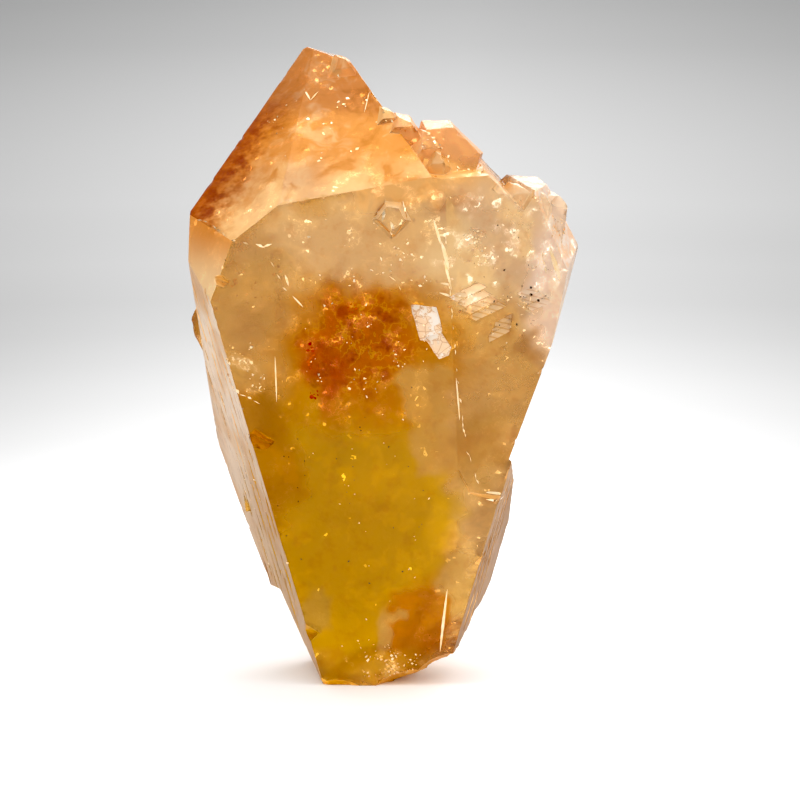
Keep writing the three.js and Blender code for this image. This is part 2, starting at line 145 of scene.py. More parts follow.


# matt background paper: no shine to the eye, and a painted pool of light whose shade falls off away from the
# specimen
def makePaper(setup):
    material, tree, output = newMaterial("backgroundPaperMatt")
    where = addNode(tree, "TexCoord").outputs["Object"]
    # painted light: the paper is painted darker with distance from the specimen
    far = addNode(tree, "VectorMath", {0: where}, operation="LENGTH").outputs["Value"]
    reach = setup["paintedLightFalloff"][-1][0]
    share = addNode(tree, "Math", {0: far, 1: reach}, operation="DIVIDE").outputs[0]
    ramp = addNode(tree, "ValToRGB", {"Fac": share})
    points = ramp.color_ramp.elements
    while len(points) < len(setup["paintedLightFalloff"]):
        points.new(0.5)
    for point, (distance, shade) in zip(points, setup["paintedLightFalloff"]):
        point.position = distance / reach
        point.color = linearColour(shade)
    # painted light: the paper is painted darker to both sides, as a fan
    fan = setup["fan"]
    place = addNode(tree, "SeparateXYZ", {0: where})
    ahead = addNode(tree, "Math", {0: place.outputs["Y"]}, operation="ABSOLUTE").outputs[0]
    ahead = addNode(tree, "Math", {0: ahead, 1: fan["from"]}, operation="SUBTRACT").outputs[0]
    aside = addNode(tree, "Math", {0: place.outputs["X"], 1: ahead}, operation="DIVIDE").outputs[0]
    aside = addNode(tree, "Math", {0: aside, 1: fan["turned"]}, operation="SUBTRACT").outputs[0]
    aside = addNode(tree, "Math", {0: aside}, operation="ABSOLUTE").outputs[0]
    spread = {"From Min": fan["middle"], "From Max": fan["side"], "To Min": fan["bright"], "To Max": fan["dim"]}
    dimmed = addNode(tree, "MapRange", {"Value": aside, **spread}).outputs[0]
    shades = {0: 1.0, 6: ramp.outputs["Color"], 7: dimmed}
    paper = addNode(tree, "Mix", shades, data_type="RGBA", blend_type="MULTIPLY").outputs[2]
    finish = {"Roughness": setup["paperRough"], "Specular IOR Level": setup["paperShine"]}
    shader = addNode(tree, "BsdfPrincipled", {"Base Color": paper, **finish})
    tree.links.new(shader.outputs[0], output.inputs["Surface"])
    return material


def makeFloor(setup):
    bm = bmesh.new()
    bmesh.ops.create_circle(bm, cap_ends=True, radius=setup["floorRadius"], segments=96)
    mesh = bpy.data.meshes.new("floor")
    bm.to_mesh(mesh)
    bm.free()
    mesh.materials.append(makePaper(setup))
    floor = bpy.data.objects.new("floor", mesh)
    floor.location.z = -setup["floorDrop"] * mm
    scene.collection.objects.link(floor)


# a plain white room, darker on the left
def makeSky(setup):
    scene.world = bpy.data.worlds.new("studioLight")
    scene.world.use_nodes = True
    sky = scene.world.node_tree
    sky.nodes.clear()
    look = addNode(sky, "SeparateXYZ", {0: addNode(sky, "TexCoord").outputs["Generated"]})
    low, high = setup["sky"]
    upward = {"From Min": 0.0, "From Max": setup["skyBend"], "To Min": low, "To Max": high}
    shade = addNode(sky, "MapRange", {"Value": look.outputs["Z"], **upward}).outputs[0]
    wall = setup["leftWall"]
    aside = {"From Min": wall["from"], "From Max": wall["to"], "To Min": wall["dark"], "To Max": 1.0}
    leftWall = addNode(sky, "MapRange", {"Value": look.outputs["X"], **aside}).outputs[0]
    shade = addNode(sky, "Math", {0: shade, 1: leftWall}, operation="MULTIPLY").outputs[0]
    light = addNode(sky, "Background", {"Color": "#ffffff", "Strength": shade})
    addNode(sky, "OutputWorld", {"Surface": light.outputs[0]})


def makeLamps(setup):
    aim = Vector(cameraSetup["aim"]) * mm
    for name, lamp in setup["lamps"].items():
        data = bpy.data.lights.new(name, "AREA")
        data.shape = "SQUARE"
        data.size = lamp["size"]
        data.energy = lamp["watts"]
        box = bpy.data.objects.new(name, data)
        box.location = lamp["at"]
        box.rotation_euler = (Vector(lamp["at"]) - aim).to_track_quat("Z", "Y").to_euler()
        box.visible_camera = False
        scene.collection.objects.link(box)


makeFloor(studio)
makeSky(studio)
makeLamps(studio)
scene.view_settings.view_transform = "Standard"
scene.view_settings.look = "Medium High Contrast"
scene.view_settings.exposure = studio["exposure"]
scene.view_settings.use_curve_mapping = True
scene.view_settings.curve_mapping.black_level = (studio["black"],) * 3
scene.view_settings.curve_mapping.update()
print("camera, floor and light made")

# The crystal body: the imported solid, evenly meshed, with worn edges and a grown skin

crystalBody = {
    "seed": 41,
    "weld": 0.003,  # mm: corners this close are one, and faces this level are one facet
    "hairline": 0.01,  # mm, a triangle thinner than this belongs to the facet beside it
    "triangle": 0.75,  # mm
    "rowStep": 0.866,  # rows of even triangles stand this far apart, in triangles
    "shake": 0.12,  # how far the mesh points stray from even rows, in triangles
    "keepOff": 0.55,  # how near to a facet's outline they come, in triangles
    "rim": 0.16,  # mm, how far from a sharp edge the face turns to meet it
    "rimGap": 0.8,  # how near to any edge the points of that row come, in rims
    "sharp": 12,  # degrees between two faces of the crystal
    "swell": (0.05, 8.0),  # mm deep, mm across: grown faces aren't quite flat
    "edgeWear": (0.035, 0.3, 1.5, 0.7),  # mm everywhere, mm more in a nick, mm across it, mm it reaches in
    "nickWhere": (0.1, 0.6),  # from which level of its noise a nick starts, and where it is deepest
    "wearPatches": 9.0,  # mm across, places where the edges are more worn
    "wornWhere": (-0.3, 0.4),
    "breakRelief": (0.26, 2.6),  # mm deep, mm across, on broken places
    "breakSteps": (3, 1.6),  # how many, and how much broader than the waves they are
    "chipArea": 9.0,  # mm2, a broken facet smaller than this is a chip
    "etching": (0.07, 0.7, 4.0),  # mm deep, mm wide, mm long, in lines down the side faces
    "etchedWhere": (0.05, 0.6),
    "sameLook": 2.5,  # degrees that a facet may be off the ways given below
}

# the faces that differ from the rest in finish, by the ways they look out
grownFaces = {
    "leftSide": [(-74, -16.5)],
    "rightSide": [(77.5, -16.5), (118, 47.6), (150, -0.6)],
    "upperFace": [(-13, 47), (12, 52), (-52, 56)],
    "leftSlope": [(-49, 40.5), (-108.5, 27.5)],
    "cornerFacet": [(-56, 13), (-95.5, -0.5)],
    "frontFace": [(0, -8), (15, -7)],
    "paleFacet": [(67, 17), (14, 38), (100, 30)],
    "backFace": [(180, -10), (145, -24), (-145, -27.5), (180, 40), (96, 33), (95, -19.6), (80, -11.5)],
}
frontLook = (0, -8)
etchedLooks = {"leftSide": (-74, -16.5), "rightSide": (77.5, -16.5)}
# places where a flake of the face came away along the cleavage: middle and half size, mm
cleavedPlaces = [((9.6, -20, 69.5), 6.5), ((21, -18, 70), 4), ((29.4, -16, 73.2), 3.2)]
farOff = 1e3  # mm, further than anything here


def solidOf(name, weld):
    bm = bmesh.new()
    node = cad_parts[name]
    bm.from_mesh(node.data)
    bm.transform(node.matrix_world)
    bmesh.ops.remove_doubles(bm, verts=bm.verts, dist=weld * mm)
    bmesh.ops.dissolve_degenerate(bm, edges=bm.edges, dist=2 * weld * mm)
    bmesh.ops.triangulate(bm, faces=[f for f in bm.faces if len(f.verts) > 3])
    return bm


# the flat faces of the solid: for each, its normal and the triangles in it. Within one, the normals differ by no
# more than the angle with the cosine sameWay.
def facetsOf(bm, closeEnough, hairline, sameWay=0.9):
    bm.faces.ensure_lookup_table()
    bm.faces.index_update()
    facetOf, facets = {}, []

    def hairThin(f):
        return f.calc_area() < hairline * max(e.calc_length() for e in f.edges)

    for seed in sorted(bm.faces, key=lambda f: -f.calc_area()):
        if seed.index in facetOf:
            continue
        normal, level = seed.normal.copy(), seed.normal.dot(seed.verts[0].co)
        members, stack = [], [seed]
        facetOf[seed.index] = len(facets)
        while stack:
            f = stack.pop()
            members.append(f)
            for g in (g for e in f.edges for g in e.link_faces):
                if g.index in facetOf or (g.normal.dot(normal) < sameWay and not hairThin(g)):
                    continue
                if all(abs(normal.dot(v.co) - level) < closeEnough for v in g.verts):
                    facetOf[g.index] = len(facets)
                    stack.append(g)
        facets.append((normal, members))
    return facets, facetOf


# how far each point is from the nearest of the segments a to b; in batches, to spare memory
def gapToSegments(points, a, b, batch=2000):
    gap = np.full(len(points), farOff)
    ab = b - a
    for start in range(0, len(points), batch):
        p = points[start : start + batch, None, :]
        t = np.clip(((p - a) * ab).sum(-1) / np.maximum((ab * ab).sum(-1), 1e-12), 0, 1)
        gap[start : start + batch] = np.linalg.norm(p - (a + t[..., None] * ab), axis=-1).min(1)
    return gap


def insideOutline(points, a, b, batch=4000):  # even-odd test of points against the segments a to b
    inside = np.zeros(len(points), bool)
    rise = np.where(b[:, 1] == a[:, 1], 1.0, b[:, 1] - a[:, 1])
    for start in range(0, len(points), batch):
        p = points[start : start + batch, None, :]
        over = (a[:, 1] > p[..., 1]) != (b[:, 1] > p[..., 1])
        cut = a[:, 0] + (p[..., 1] - a[:, 1]) * (b[:, 0] - a[:, 0]) / rise
        inside[start : start + batch] = (over & (p[..., 0] < cut)).sum(1) % 2 == 1
    return inside


def sidesOf(tri):  # the three sides of each triangle, lower name first
    return np.sort(np.stack([tri[:, [0, 1]], tri[:, [1, 2]], tri[:, [2, 0]]], 1), axis=2).reshape(-1, 2)


# which triangles lie inside the rim: patches that no rim side cuts are judged by their largest triangle
def insideRim(points, tri, ends, a, b, slimmest=2e-4):
    count = len(points)
    corners = points[tri]
    area = abs(np.cross(corners[:, 1] - corners[:, 0], corners[:, 2] - corners[:, 0]))
    sides = sidesOf(tri)
    key = sides[:, 0] * count + sides[:, 1]
    rim = np.sort(ends, axis=1)
    owner = np.repeat(np.arange(len(tri)), 3)
    order = np.argsort(key, kind="stable")
    same = key[order[:-1]] == key[order[1:]]
    first, second = order[:-1][same], order[1:][same]
    free = ~np.isin(key[first], rim[:, 0] * count + rim[:, 1])
    one, two = owner[first[free]], owner[second[free]]
    patch = np.arange(len(tri))
    while True:
        least = np.minimum(patch[one], patch[two])
        new = patch.copy()
        np.minimum.at(new, one, least)
        np.minimum.at(new, two, least)
        new = new[new]
        if (new == patch).all():
            break
        patch = new
    inside = np.zeros(len(tri), bool)
    for name in np.unique(patch):
        members = np.flatnonzero(patch == name)
        largest = members[np.argmax(area[members])]
        c = corners[largest]
        width = area[largest] / max(np.linalg.norm(c[i] - c[i - 1]) for i in range(3))
        if width > slimmest and insideOutline(c.mean(0)[None], a, b)[0]:
            inside[members] = True
    return inside


# the points inside one facet: a row just inside each sharp edge, then even rows with a little shake
def innerPoints(outline, ends, isSharp, setup, rng):
    spacing, rimWidth = setup["triangle"], setup["rim"]
    a, b = outline[ends[:, 0]], outline[ends[:, 1]]
    low, high = outline.min(0), outline.max(0)
    rows = np.arange(low[1], high[1], spacing * setup["rowStep"])
    columns = np.arange(low[0], high[0] + spacing, spacing)
    shifts = np.arange(len(rows)) % 2 * 0.5 * spacing
    grid = np.stack([columns[None] + shifts[:, None], np.repeat(rows[:, None], len(columns), 1)], -1)
    grid = grid.reshape(-1, 2)
    grid = grid + rng.uniform(-setup["shake"], setup["shake"], grid.shape) * spacing
    grid = grid[insideOutline(grid, a, b)] if len(grid) else grid
    grid = grid[gapToSegments(grid, a, b) > setup["keepOff"] * spacing] if len(grid) else grid

    inward = np.zeros_like(outline)
    along = (b - a) / np.maximum(np.linalg.norm(b - a, axis=1), 1e-9)[:, None]
    across = np.stack([-along[:, 1], along[:, 0]], 1) * isSharp[:, None]
    np.add.at(inward, ends[:, 0], across)
    np.add.at(inward, ends[:, 1], across)
    length = np.linalg.norm(inward, axis=1)
    turned = length > 1.2  # a sharp edge on both sides, and no hairpin
    row = outline[turned] + inward[turned] / length[turned, None] * rimWidth * 2 / length[turned, None]
    row = row[insideOutline(row, a, b)] if len(row) else row
    row = row[gapToSegments(row, a, b) > setup["rimGap"] * rimWidth] if len(row) else row
    return np.vstack([row, grid])


# the triangles of one facet, by point, or None where the outline can't be kept
def fillFacet(outline, inner, ends):
    points = np.vstack([outline, inner])
    made = geometry.delaunay_2d_cdt([Vector(p) for p in points], ends.tolist(), [], 0, 1e-6)
    tri = np.array(made[2]).reshape(-1, 3)
    if len(made[0]) != len(points) or any(len(o) != 1 for o in made[3]) or not len(tri):
        return None
    tri = np.array([o[0] for o in made[3]])[tri]
    tri = tri[insideRim(points, tri, ends, outline[ends[:, 0]], outline[ends[:, 1]])]
    sides, times = np.unique(sidesOf(tri), axis=0, return_counts=True)
    openSides = {tuple(side) for side in sides[times == 1].tolist()}
    return tri if len(tri) and openSides == {tuple(sorted(side)) for side in ends.tolist()} else None


# each flat face meshed anew in even triangles, with a narrow rim inside its sharp edges. Millimetres.
def evenMesh(bm, setup, rng):
    spacing = setup["triangle"]
    facets, facetOf = facetsOf(bm, setup["weld"] * mm, setup["hairline"] * mm)
    bm.verts.index_update()
    bm.edges.index_update()
    verts = [v.co / mm for v in bm.verts]
    wearGap = [farOff] * len(verts)  # distance to the nearest sharp outer edge
    chains = {}
    sharp = math.radians(setup["sharp"])

    def wearsAway(e):
        return e.is_convex and e.calc_face_angle(0) > 2 * sharp

    def chainOf(corner):  # the points along a side, from this corner on
        e = corner.edge
        if e.index not in chains:
            a, b = verts[e.verts[0].index], verts[e.verts[1].index]
            pieces = max(1, round((b - a).length / spacing))
            chain = [e.verts[0].index]
            for i in range(1, pieces):
                chain.append(len(verts))
                verts.append(a.lerp(b, i / pieces))
                wearGap.append(farOff)
            chain.append(e.verts[1].index)
            chains[e.index] = chain
            if wearsAway(e):
                for i in chain:
                    wearGap[i] = 0.0
        chain = chains[e.index]
        return chain if chain[0] == corner.vert.index else chain[::-1]

    triangles, facetOfTriangle = [], []
    for number, (normal, members) in enumerate(facets):
        rim = []
        for corner in (c for f in members for c in f.loops):
            e = corner.edge
            if any(facetOf[g.index] != number for g in e.link_faces):
                chain = chainOf(corner)
                isSharp = e.calc_face_angle(0) > sharp
                rim += [(a, b, isSharp, wearsAway(e)) for a, b in zip(chain, chain[1:])]
        if len(members) == 1 and len(rim) == 3 and members[0].calc_area() < (spacing * mm) ** 2:
            triangles.append([v.index for v in members[0].verts])
            facetOfTriangle.append(number)
            continue
        u = normal.orthogonal().normalized()
        axes = np.array([u, normal.cross(u)])
        origin = np.array(members[0].verts[0].co / mm)
        names = sorted({i for side in rim for i in side[:2]})
        local = {name: i for i, name in enumerate(names)}
        outline = (np.array([verts[i] for i in names]) - origin) @ axes.T
        ends = np.array([[local[side[0]], local[side[1]]] for side in rim])
        isSharp = np.array([side[2] for side in rim])
        wears = np.array([side[3] for side in rim])
        inner = innerPoints(outline, ends, isSharp, setup, rng)
        tri = fillFacet(outline, inner, ends)
        if tri is not None:
            whole = np.array(names + list(range(len(verts), len(verts) + len(inner))))
            gaps = [farOff] * len(inner)
            if wears.any() and len(inner):
                gaps = gapToSegments(inner, outline[ends[wears, 0]], outline[ends[wears, 1]])
            for p, gap in zip(inner, gaps):
                verts.append(Vector(origin + p @ axes))
                wearGap.append(float(gap))
            triangles += whole[tri].tolist()
            facetOfTriangle += [number] * len(tri)
            continue
        for f in members:  # a sliver that can't be meshed evenly keeps its own corners
            loop = []
            for corner in f.loops:
                if all(facetOf[g.index] == number for g in corner.edge.link_faces):
                    loop.append(corner.vert.index)
                else:
                    loop += chainOf(corner)[:-1]
            fan = [(loop[0], loop[i], loop[i + 1]) for i in range(1, len(loop) - 1)]
            triangles += fan
            facetOfTriangle += [number] * len(fan)
    normals = np.array([normal for normal, _ in facets])
    return np.array(verts), np.array(triangles), np.array(facetOfTriangle), normals, np.array(wearGap)


bm = solidOf("calcite_crystal", crystalBody["weld"])
rng = np.random.default_rng(crystalBody["seed"])
points, triangles, facetOfTriangle, facetNormals, wearGap = evenMesh(bm, crystalBody, rng)
bm.free()

facetKind = {}
for kind, looks in grownFaces.items():
    aims = np.array([direction(*look) for look in looks])
    facetKind[kind] = (facetNormals @ aims.T).max(1) > math.cos(math.radians(crystalBody["sameLook"]))
kindOfTriangle = {kind: facetKind[kind][facetOfTriangle] for kind in facetKind}
grown = np.any([kindOfTriangle[kind] for kind in facetKind], axis=0)
middles = points[triangles].mean(1)
inCleavage = [abs(middles - np.array(at)).max(1) < half for at, half in cleavedPlaces]
kindOfTriangle["cleavage"] = ~grown & np.any(inCleavage, axis=0)
sideA, sideB = (points[triangles[:, i]] - points[triangles[:, 0]] for i in (1, 2))
areas = np.linalg.norm(np.cross(sideA, sideB), axis=1) / 2
areaOfFacet = np.bincount(facetOfTriangle, areas)
small = areaOfFacet[facetOfTriangle] < crystalBody["chipArea"]
kindOfTriangle["chipped"] = ~grown & ~kindOfTriangle["cleavage"] & small
print("crystal body meshed:", len(triangles), "triangles")


def shareAtPoints(ofTriangle):  # how much of what meets at each point is of that kind
    total = np.zeros(len(points))
    count = np.zeros(len(points))
    for i in range(3):
        np.add.at(total, triangles[:, i], ofTriangle.astype(float))
        np.add.at(count, triangles[:, i], 1)
    return total / np.maximum(count, 1)


def smoothStep(x, low, high):
    t = np.clip((x - low) / (high - low), 0, 1)
    return t * t * (3 - 2 * t)


def noiseAt(where, size, octaves=1, seed=0.0):  # where in mm, size in mm
    shift = Vector((seed * 17.3, seed * 5.1, seed * 9.7))  # each seed reads another part of the noise
    return np.array([noise.fractal(Vector(p) / size + shift, 0.6, 2.0, octaves) for p in where])


def downAndOver(look):  # the ways that run down a side face and across it
    down = direction(*frontLook).cross(direction(*look)).normalized()
    return down, down.cross(direction(*look)).normalized()


def skinRelief(setup):
    a, b, c = (points[triangles[:, i]] for i in range(3))
    cross = np.cross(b - a, c - a)
    normal = np.zeros_like(points)
    for i in range(3):
        np.add.at(normal, triangles[:, i], cross)
    normal /= np.maximum(np.linalg.norm(normal, axis=1), 1e-12)[:, None]

    depth, size = setup["swell"]
    inward = depth * (0.5 + noiseAt(points, size, 2))

    # edges worn round, with nicks
    everywhere, worst, size, reach = setup["edgeWear"]
    near = np.clip(1 - wearGap / reach, 0, 1) ** 2
    nick = smoothStep(noiseAt(points, size, 3, 1), *setup["nickWhere"])
    nick = nick * smoothStep(noiseAt(points, setup["wearPatches"], 1, 2), *setup["wornWhere"])
    inward += np.where(wearGap < 1e-6, everywhere, 0) + worst * near * nick

    # broken places: shell-like waves and small steps
    depth, size = setup["breakRelief"]
    rough = 1 - shareAtPoints(grown)
    count, broader = setup["breakSteps"]
    steps = np.floor(noiseAt(points, size * broader, 2, 3) * count) / count % 1
    inward += rough * depth * (0.5 * np.abs(noiseAt(points, size, 3, 4)) + 0.5 * steps)

    # lines etched down the side faces
    depth, wide, long = setup["etching"]
    for kind, look in etchedLooks.items():
        down, over = downAndOver(look)
        stretched = np.stack([points @ np.array(over) / wide, points @ np.array(down) / long, points[:, 1] * 0], 1)
        lines = smoothStep(noiseAt(stretched, 1.0, 2, 5), *setup["etchedWhere"])
        inward += depth * lines * shareAtPoints(kindOfTriangle[kind])

    onFoot = points[:, 2] < 0.01
    moved = points - normal * np.where(onFoot, 0, np.maximum(inward, 0))[:, None]
    moved[:, 2] = np.maximum(moved[:, 2], 0)
    return moved


skin = skinRelief(crystalBody) * mm
body = bpy.data.meshes.new("calciteSpecimen")
body.from_pydata(skin.tolist(), [], triangles.tolist())
body.polygons.foreach_set("use_smooth", [True] * len(body.polygons))
for kind in kindOfTriangle:
    layer = body.attributes.new(kind, "FLOAT", "FACE")
    layer.data.foreach_set("value", kindOfTriangle[kind].astype(np.float32))
body.update()
specimen = bpy.data.objects.new("calciteSpecimen", body)
scene.collection.objects.link(specimen)
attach(specimen, "root")
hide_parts("calcite_crystal")
print("skin and edges worn")

# Calcite, grown and in places cleaved: clear honey-coloured crystal, cloudy where iron and tiny fractures
# fill it. Light goes in, picks up gold and comes back soft, and the grown faces keep a glassy to satin shine.
# The names with Where, Up and the like hold ranges: a value that runs from the first number to the second gives
# the third to the fourth, or 0 to 1 where there are only two.
honeyCalcite = {
    "ior": 1.6,  # calcite is 1.49 to 1.66, by direction
    "shine": 0.15,
    "absorption": "#fce24c",
    "absorptionDensity": 15,  # per metre
    "clear": "#e9bb74",
    "cloudy": "#cf9c58",
    "cloudyWhere": (0.4, 0.62),
    "seenThrough": (0.35, 0.65, 0.86, 0.7),  # from where it is clear to where it is finely clouded
    "wander": 13.0,  # mm that tinted places drift by
    # cloudiness and skin: which space it is in, mm across, detail, roughness
    "patterns": {
        "fineCloud": ("still", 3.2, 3.0, 0.65),
        "broadCloud": ("still", 12.0, 2.0, 0.5),
        "billow": ("drifted", 7.0, 3.0, 0.65),
        "streaks": ("upright", 1.6, 2.0, 0.6),
        "clusters": ("still", 4.0, 2.0, 0.6),
        "fineSkin": ("still", 1.1, 2.0, 0.55),
        "hills": ("still", 7.0, 1.0, 0.55),
    },
    "swirls": {"Scale": 1 / 9.0, "Detail": 2.0, "Roughness": 0.65},  # 9 mm across
    "wisps": {
        "brown": "#cf9040", "brownWhere": (0.5, 0.7, 0.0, 0.2),
        "straw": (1.2, 1.18, 1.1, 1.0),  # times the colour
        "strawWhere": (0.5, 0.34, 0.0, 0.7),
    },
    # gold lines and rusty spots in the veined place
    "veins": {
        "gold": "#d29a14", "goldWhere": (0.035, 0.0, 0.0, 0.75),
        "rust": "#8e3000", "rustWhere": (0.55, 0.68, 0.0, 0.7),
    },
    # the point: low and high tint, the heights in mm where they turn, brown clouds, more of them high up, cream
    "point": {
        "low": "#fcd4a0", "high": "#e69c4e", "turns": (92, 103),
        "brown": "#cc8024", "brownWhere": (0.48, 0.68, 0.0, 0.85), "brownUp": (88, 100, 0.35, 1.0),
        "cream": "#ffdaa8", "creamWhere": (0.48, 0.28, 0.0, 0.6),
    },
    # the dark band runs up the left slope, beside this edge of it. All in mm: where, how wide, how far it strays,
    # between which heights it thins out, where its orange hem starts and ends
    "slopeBand": {
        "from": (-33.8, -9, 88.5), "to": (-14, 3, 117), "wide": 3.8, "ragged": (0.3, 0.7, -1.2, 1.2),
        "thins": (113, 103, 0.15, 1.0), "hemOut": 4.5, "hemIn": -2.5, "hem": "#cf7c16", "hemShare": 0.9,
        "edgeOut": 0.8, "edgeIn": 0.2, "dark": "#8c3600", "light": "#ac5600",
    },
    "corner": {"low": "#ffe0b4", "high": "#ea9e50", "turns": (76, 88)},
    "paleFacets": {"dull": "#ffd8b4", "bright": "#fff4e8", "rightOf": (22, 26), "brightWhere": (0.4, 0.6)},
    # the side faces, pale and satin: pale, dull and low tint, and the short thin lines that run down them
    "sides": {
        "leftSide": ("#fff0e0", "#e8c096", "#b4854c"), "rightSide": ("#d8b48c", "#b88c54", "#986420"),
        "dullWhere": (0.4, 0.65), "lowWhere": (65, 15, 0.0, 0.75),
        "lines": "#7d5a3c", "linesWhere": (0.6, 0.68, 0.0, 0.6), "linePattern": {"Detail": 2.0, "Roughness": 0.65},
    },
    # painted glints: small cleavage chips in the skin, painted bright as if they caught the light: mm across, where
    # they gather, and how many are seen
    "chips": {
        "size": 0.75, "uneven": 0.2, "allOver": 0.2, "clusters": (0.5, 0.66), "share": 0.45,
        # painted highlight: the glint colour is the body colour made brighter, then creamier
        "brighter": (2.3, 2.3, 2.3, 1.0),  # times the colour
        "cream": "#fff4e4", "creamWhere": (0.4, 1.0, 0.08, 0.6),
        "milkySheen": 0.35, "milkySheenMost": 0.4, "crooked": (0.06, 0.03), "faintest": (0.0, 1.0, 0.3, 1.0),
        "hairCrackGlints": (0.035, 0.0), "hairCrackGlintShare": 1.3, "hairCrackGlintMost": 0.85,
    },
    # broken places: a pale patch with cracks, 0.55 of them to a mm, its white partly the cleaved face's own and
    # partly a painted reflection, and to the right of an x in mm stepped plates, one to a mm, which makes 6.3
    # radians of the wave that paints their light and shade
    "cleaved": {
        "cracks": 0.55, "crackWide": (0.0, 0.06), "crackBreaks": (0.5, 0.42), "vein": (0.0, 0.015),
        "white": "#fff8f0", "cream": "#ffe0c0", "creamWhere": (0.4, 0.6), "crack": "#dab08a",
        "platesFrom": (13.8, 14.2), "plateStep": 6.3, "plateWay": (0.25, 0, 0.97), "plateEdge": (-0.9, -0.6),
        "plateShadePainted": "#cda06a", "plateLightPainted": "#ffe9cf", "share": (0.0, 1.0, 1.0, 0.45),
    },
    # small broken facets: brighter low down at the front, cream from there up; places and heights in mm
    "scars": {
        "atFront": (4.0, -2.0), "low": (86, 79), "up": (79, 86),
        "lowTint": (1.35, 1.35, 1.5, 1.0),  # times the colour
        "upTint": "#ffe2bc", "upWhere": (90, 95, 0.6, 0.2),
    },
    # how far each place is seen through, where it isn't the tan, gold or cloudy body
    "clearness": {
        "sides": 0.4, "point": 0.5, "corner": 0.4, "band": 0.3, "chips": 0.1, "cleaved": 0.25, "scars": 0.4,
    },
    # smooth where it is clear, more satin where it isn't, more still on the etched sides
    "rough": {"byClearness": (0.85, 0.4, 0.14, 0.3), "moreOnSides": 0.12, "chips": 0.12},
    "relief": {"fineSkin": 0.12, "hills": 0.5, "strength": 0.5},  # the first two in mm, too low for the mesh
    "softEdge": (0.4, 0.6),  # how far out and in the softest edge of a tinted place reaches, in half sizes
    # tinted places: middle and half size in mm, how soft the edge is, how strong, colour, how far it is seen
    # through, how much of it has painted glints of chips
    "zones": [
        ((13, -6, 104), (14, 16, 8), 0.6, 0.95, "#ffbc7c", 0.45, 0.3),
        ((17, -14, 97), (12, 10, 4.5), 0.6, 0.8, "#f0b266", 0.45, 0.5),
        # painted light: the down-facing facets of the notch near the tip are tinted bright peach to lift them out of
        # their shade, on top of the point's own orange
        ((-5, 2, 113), (7, 9, 5), 0.6, 0.95, "#ffa856", 0.3, 0.25),
        ((31, -10, 92), (8, 13, 8), 0.6, 0.9, "#ffe6ca", 0.5, 0.4),
        ((-4, -20, 86), (22, 10, 10), 0.6, 0.85, "#e4c39a", 0.55, 0.25),
        ((13, -21, 95.5), (22, 7, 4.5), 0.6, 0.95, "#edb878", 0.2, 0.6),
        ((-22, -20, 75), (9, 9, 12), 0.6, 0.7, "#b8925e", 0.62, 0.1),
        ((23, -17, 84), (15, 14, 13), 0.6, 0.9, "#f3d8b0", 0.5, 1.2),
        ((33, -12, 76), (6, 12, 22), 0.7, 0.9, "#fce8d4", 0.45, 0.5),
        ((22, -16, 52), (9, 14, 24), 0.4, 0.8, "#c89e66", 0.6, 0.1),
        ((19, -9, 35), (6, 12, 9), 0.5, 0.9, "#cfa46a", 0.4, 0.15),
        ((-6, -12, 33), (21, 40, 34), 0.3, 1.0, "#c49600", 0.55, 0.04),
        ((-23, -15, 46), (10, 10, 18), 0.6, 0.95, "#aa7400", 0.45, 0.1),
        ((-25, -17, 61.5), (4, 8, 5.5), 0.6, 0.8, "#c49a58", 0.6, 1.0),
        ((-2, -18, 64), (18.5, 12, 15.5), 0.6, 0.95, "#b87c00", 0.45, 0.5),
        ((-3, -19, 66.5), (11, 12, 11.5), 0.8, 0.9, "#b25c00", 0.38, 0.5),
        ((-9.5, -19, 61), (3, 9, 9), 0.9, 0.75, "#a84600", 0.4, 0.2),
        ((18, -15, 47), (6, 8, 7), 0.9, 0.7, "#a87c34", 0.55, 0.1),
        ((9.4, -17, 57), (4.8, 8, 6.5), 0.5, 0.8, "#c49850", 0.55, 0.2),
        ((10.8, -16.5, 47), (4.4, 8, 5.4), 0.5, 0.8, "#c79a50", 0.55, 0.1),
        ((8.6, -12, 12), (6.6, 9, 10), 0.6, 0.95, "#b87000", 0.5, 0.2),
        ((-11.6, -12, 13), (2.8, 6, 4.8), 0.6, 0.8, "#b48e38", 0.55, 0.1),
        ((2.2, -11.4, 10.8), (2.3, 6, 5.2), 0.6, 0.8, "#caa05a", 0.55, 0.2),
        ((14.6, -13, 19), (3, 7, 6.4), 0.5, 0.8, "#c99f58", 0.5, 0.2),
        ((0, -9, 3), (12, 9, 4.5), 0.5, 0.6, "#c08c14", 0.5, 1.0),
    ],
    "veined": (-3, -19, 66.5),  # the tinted place that is veined, by its middle
}

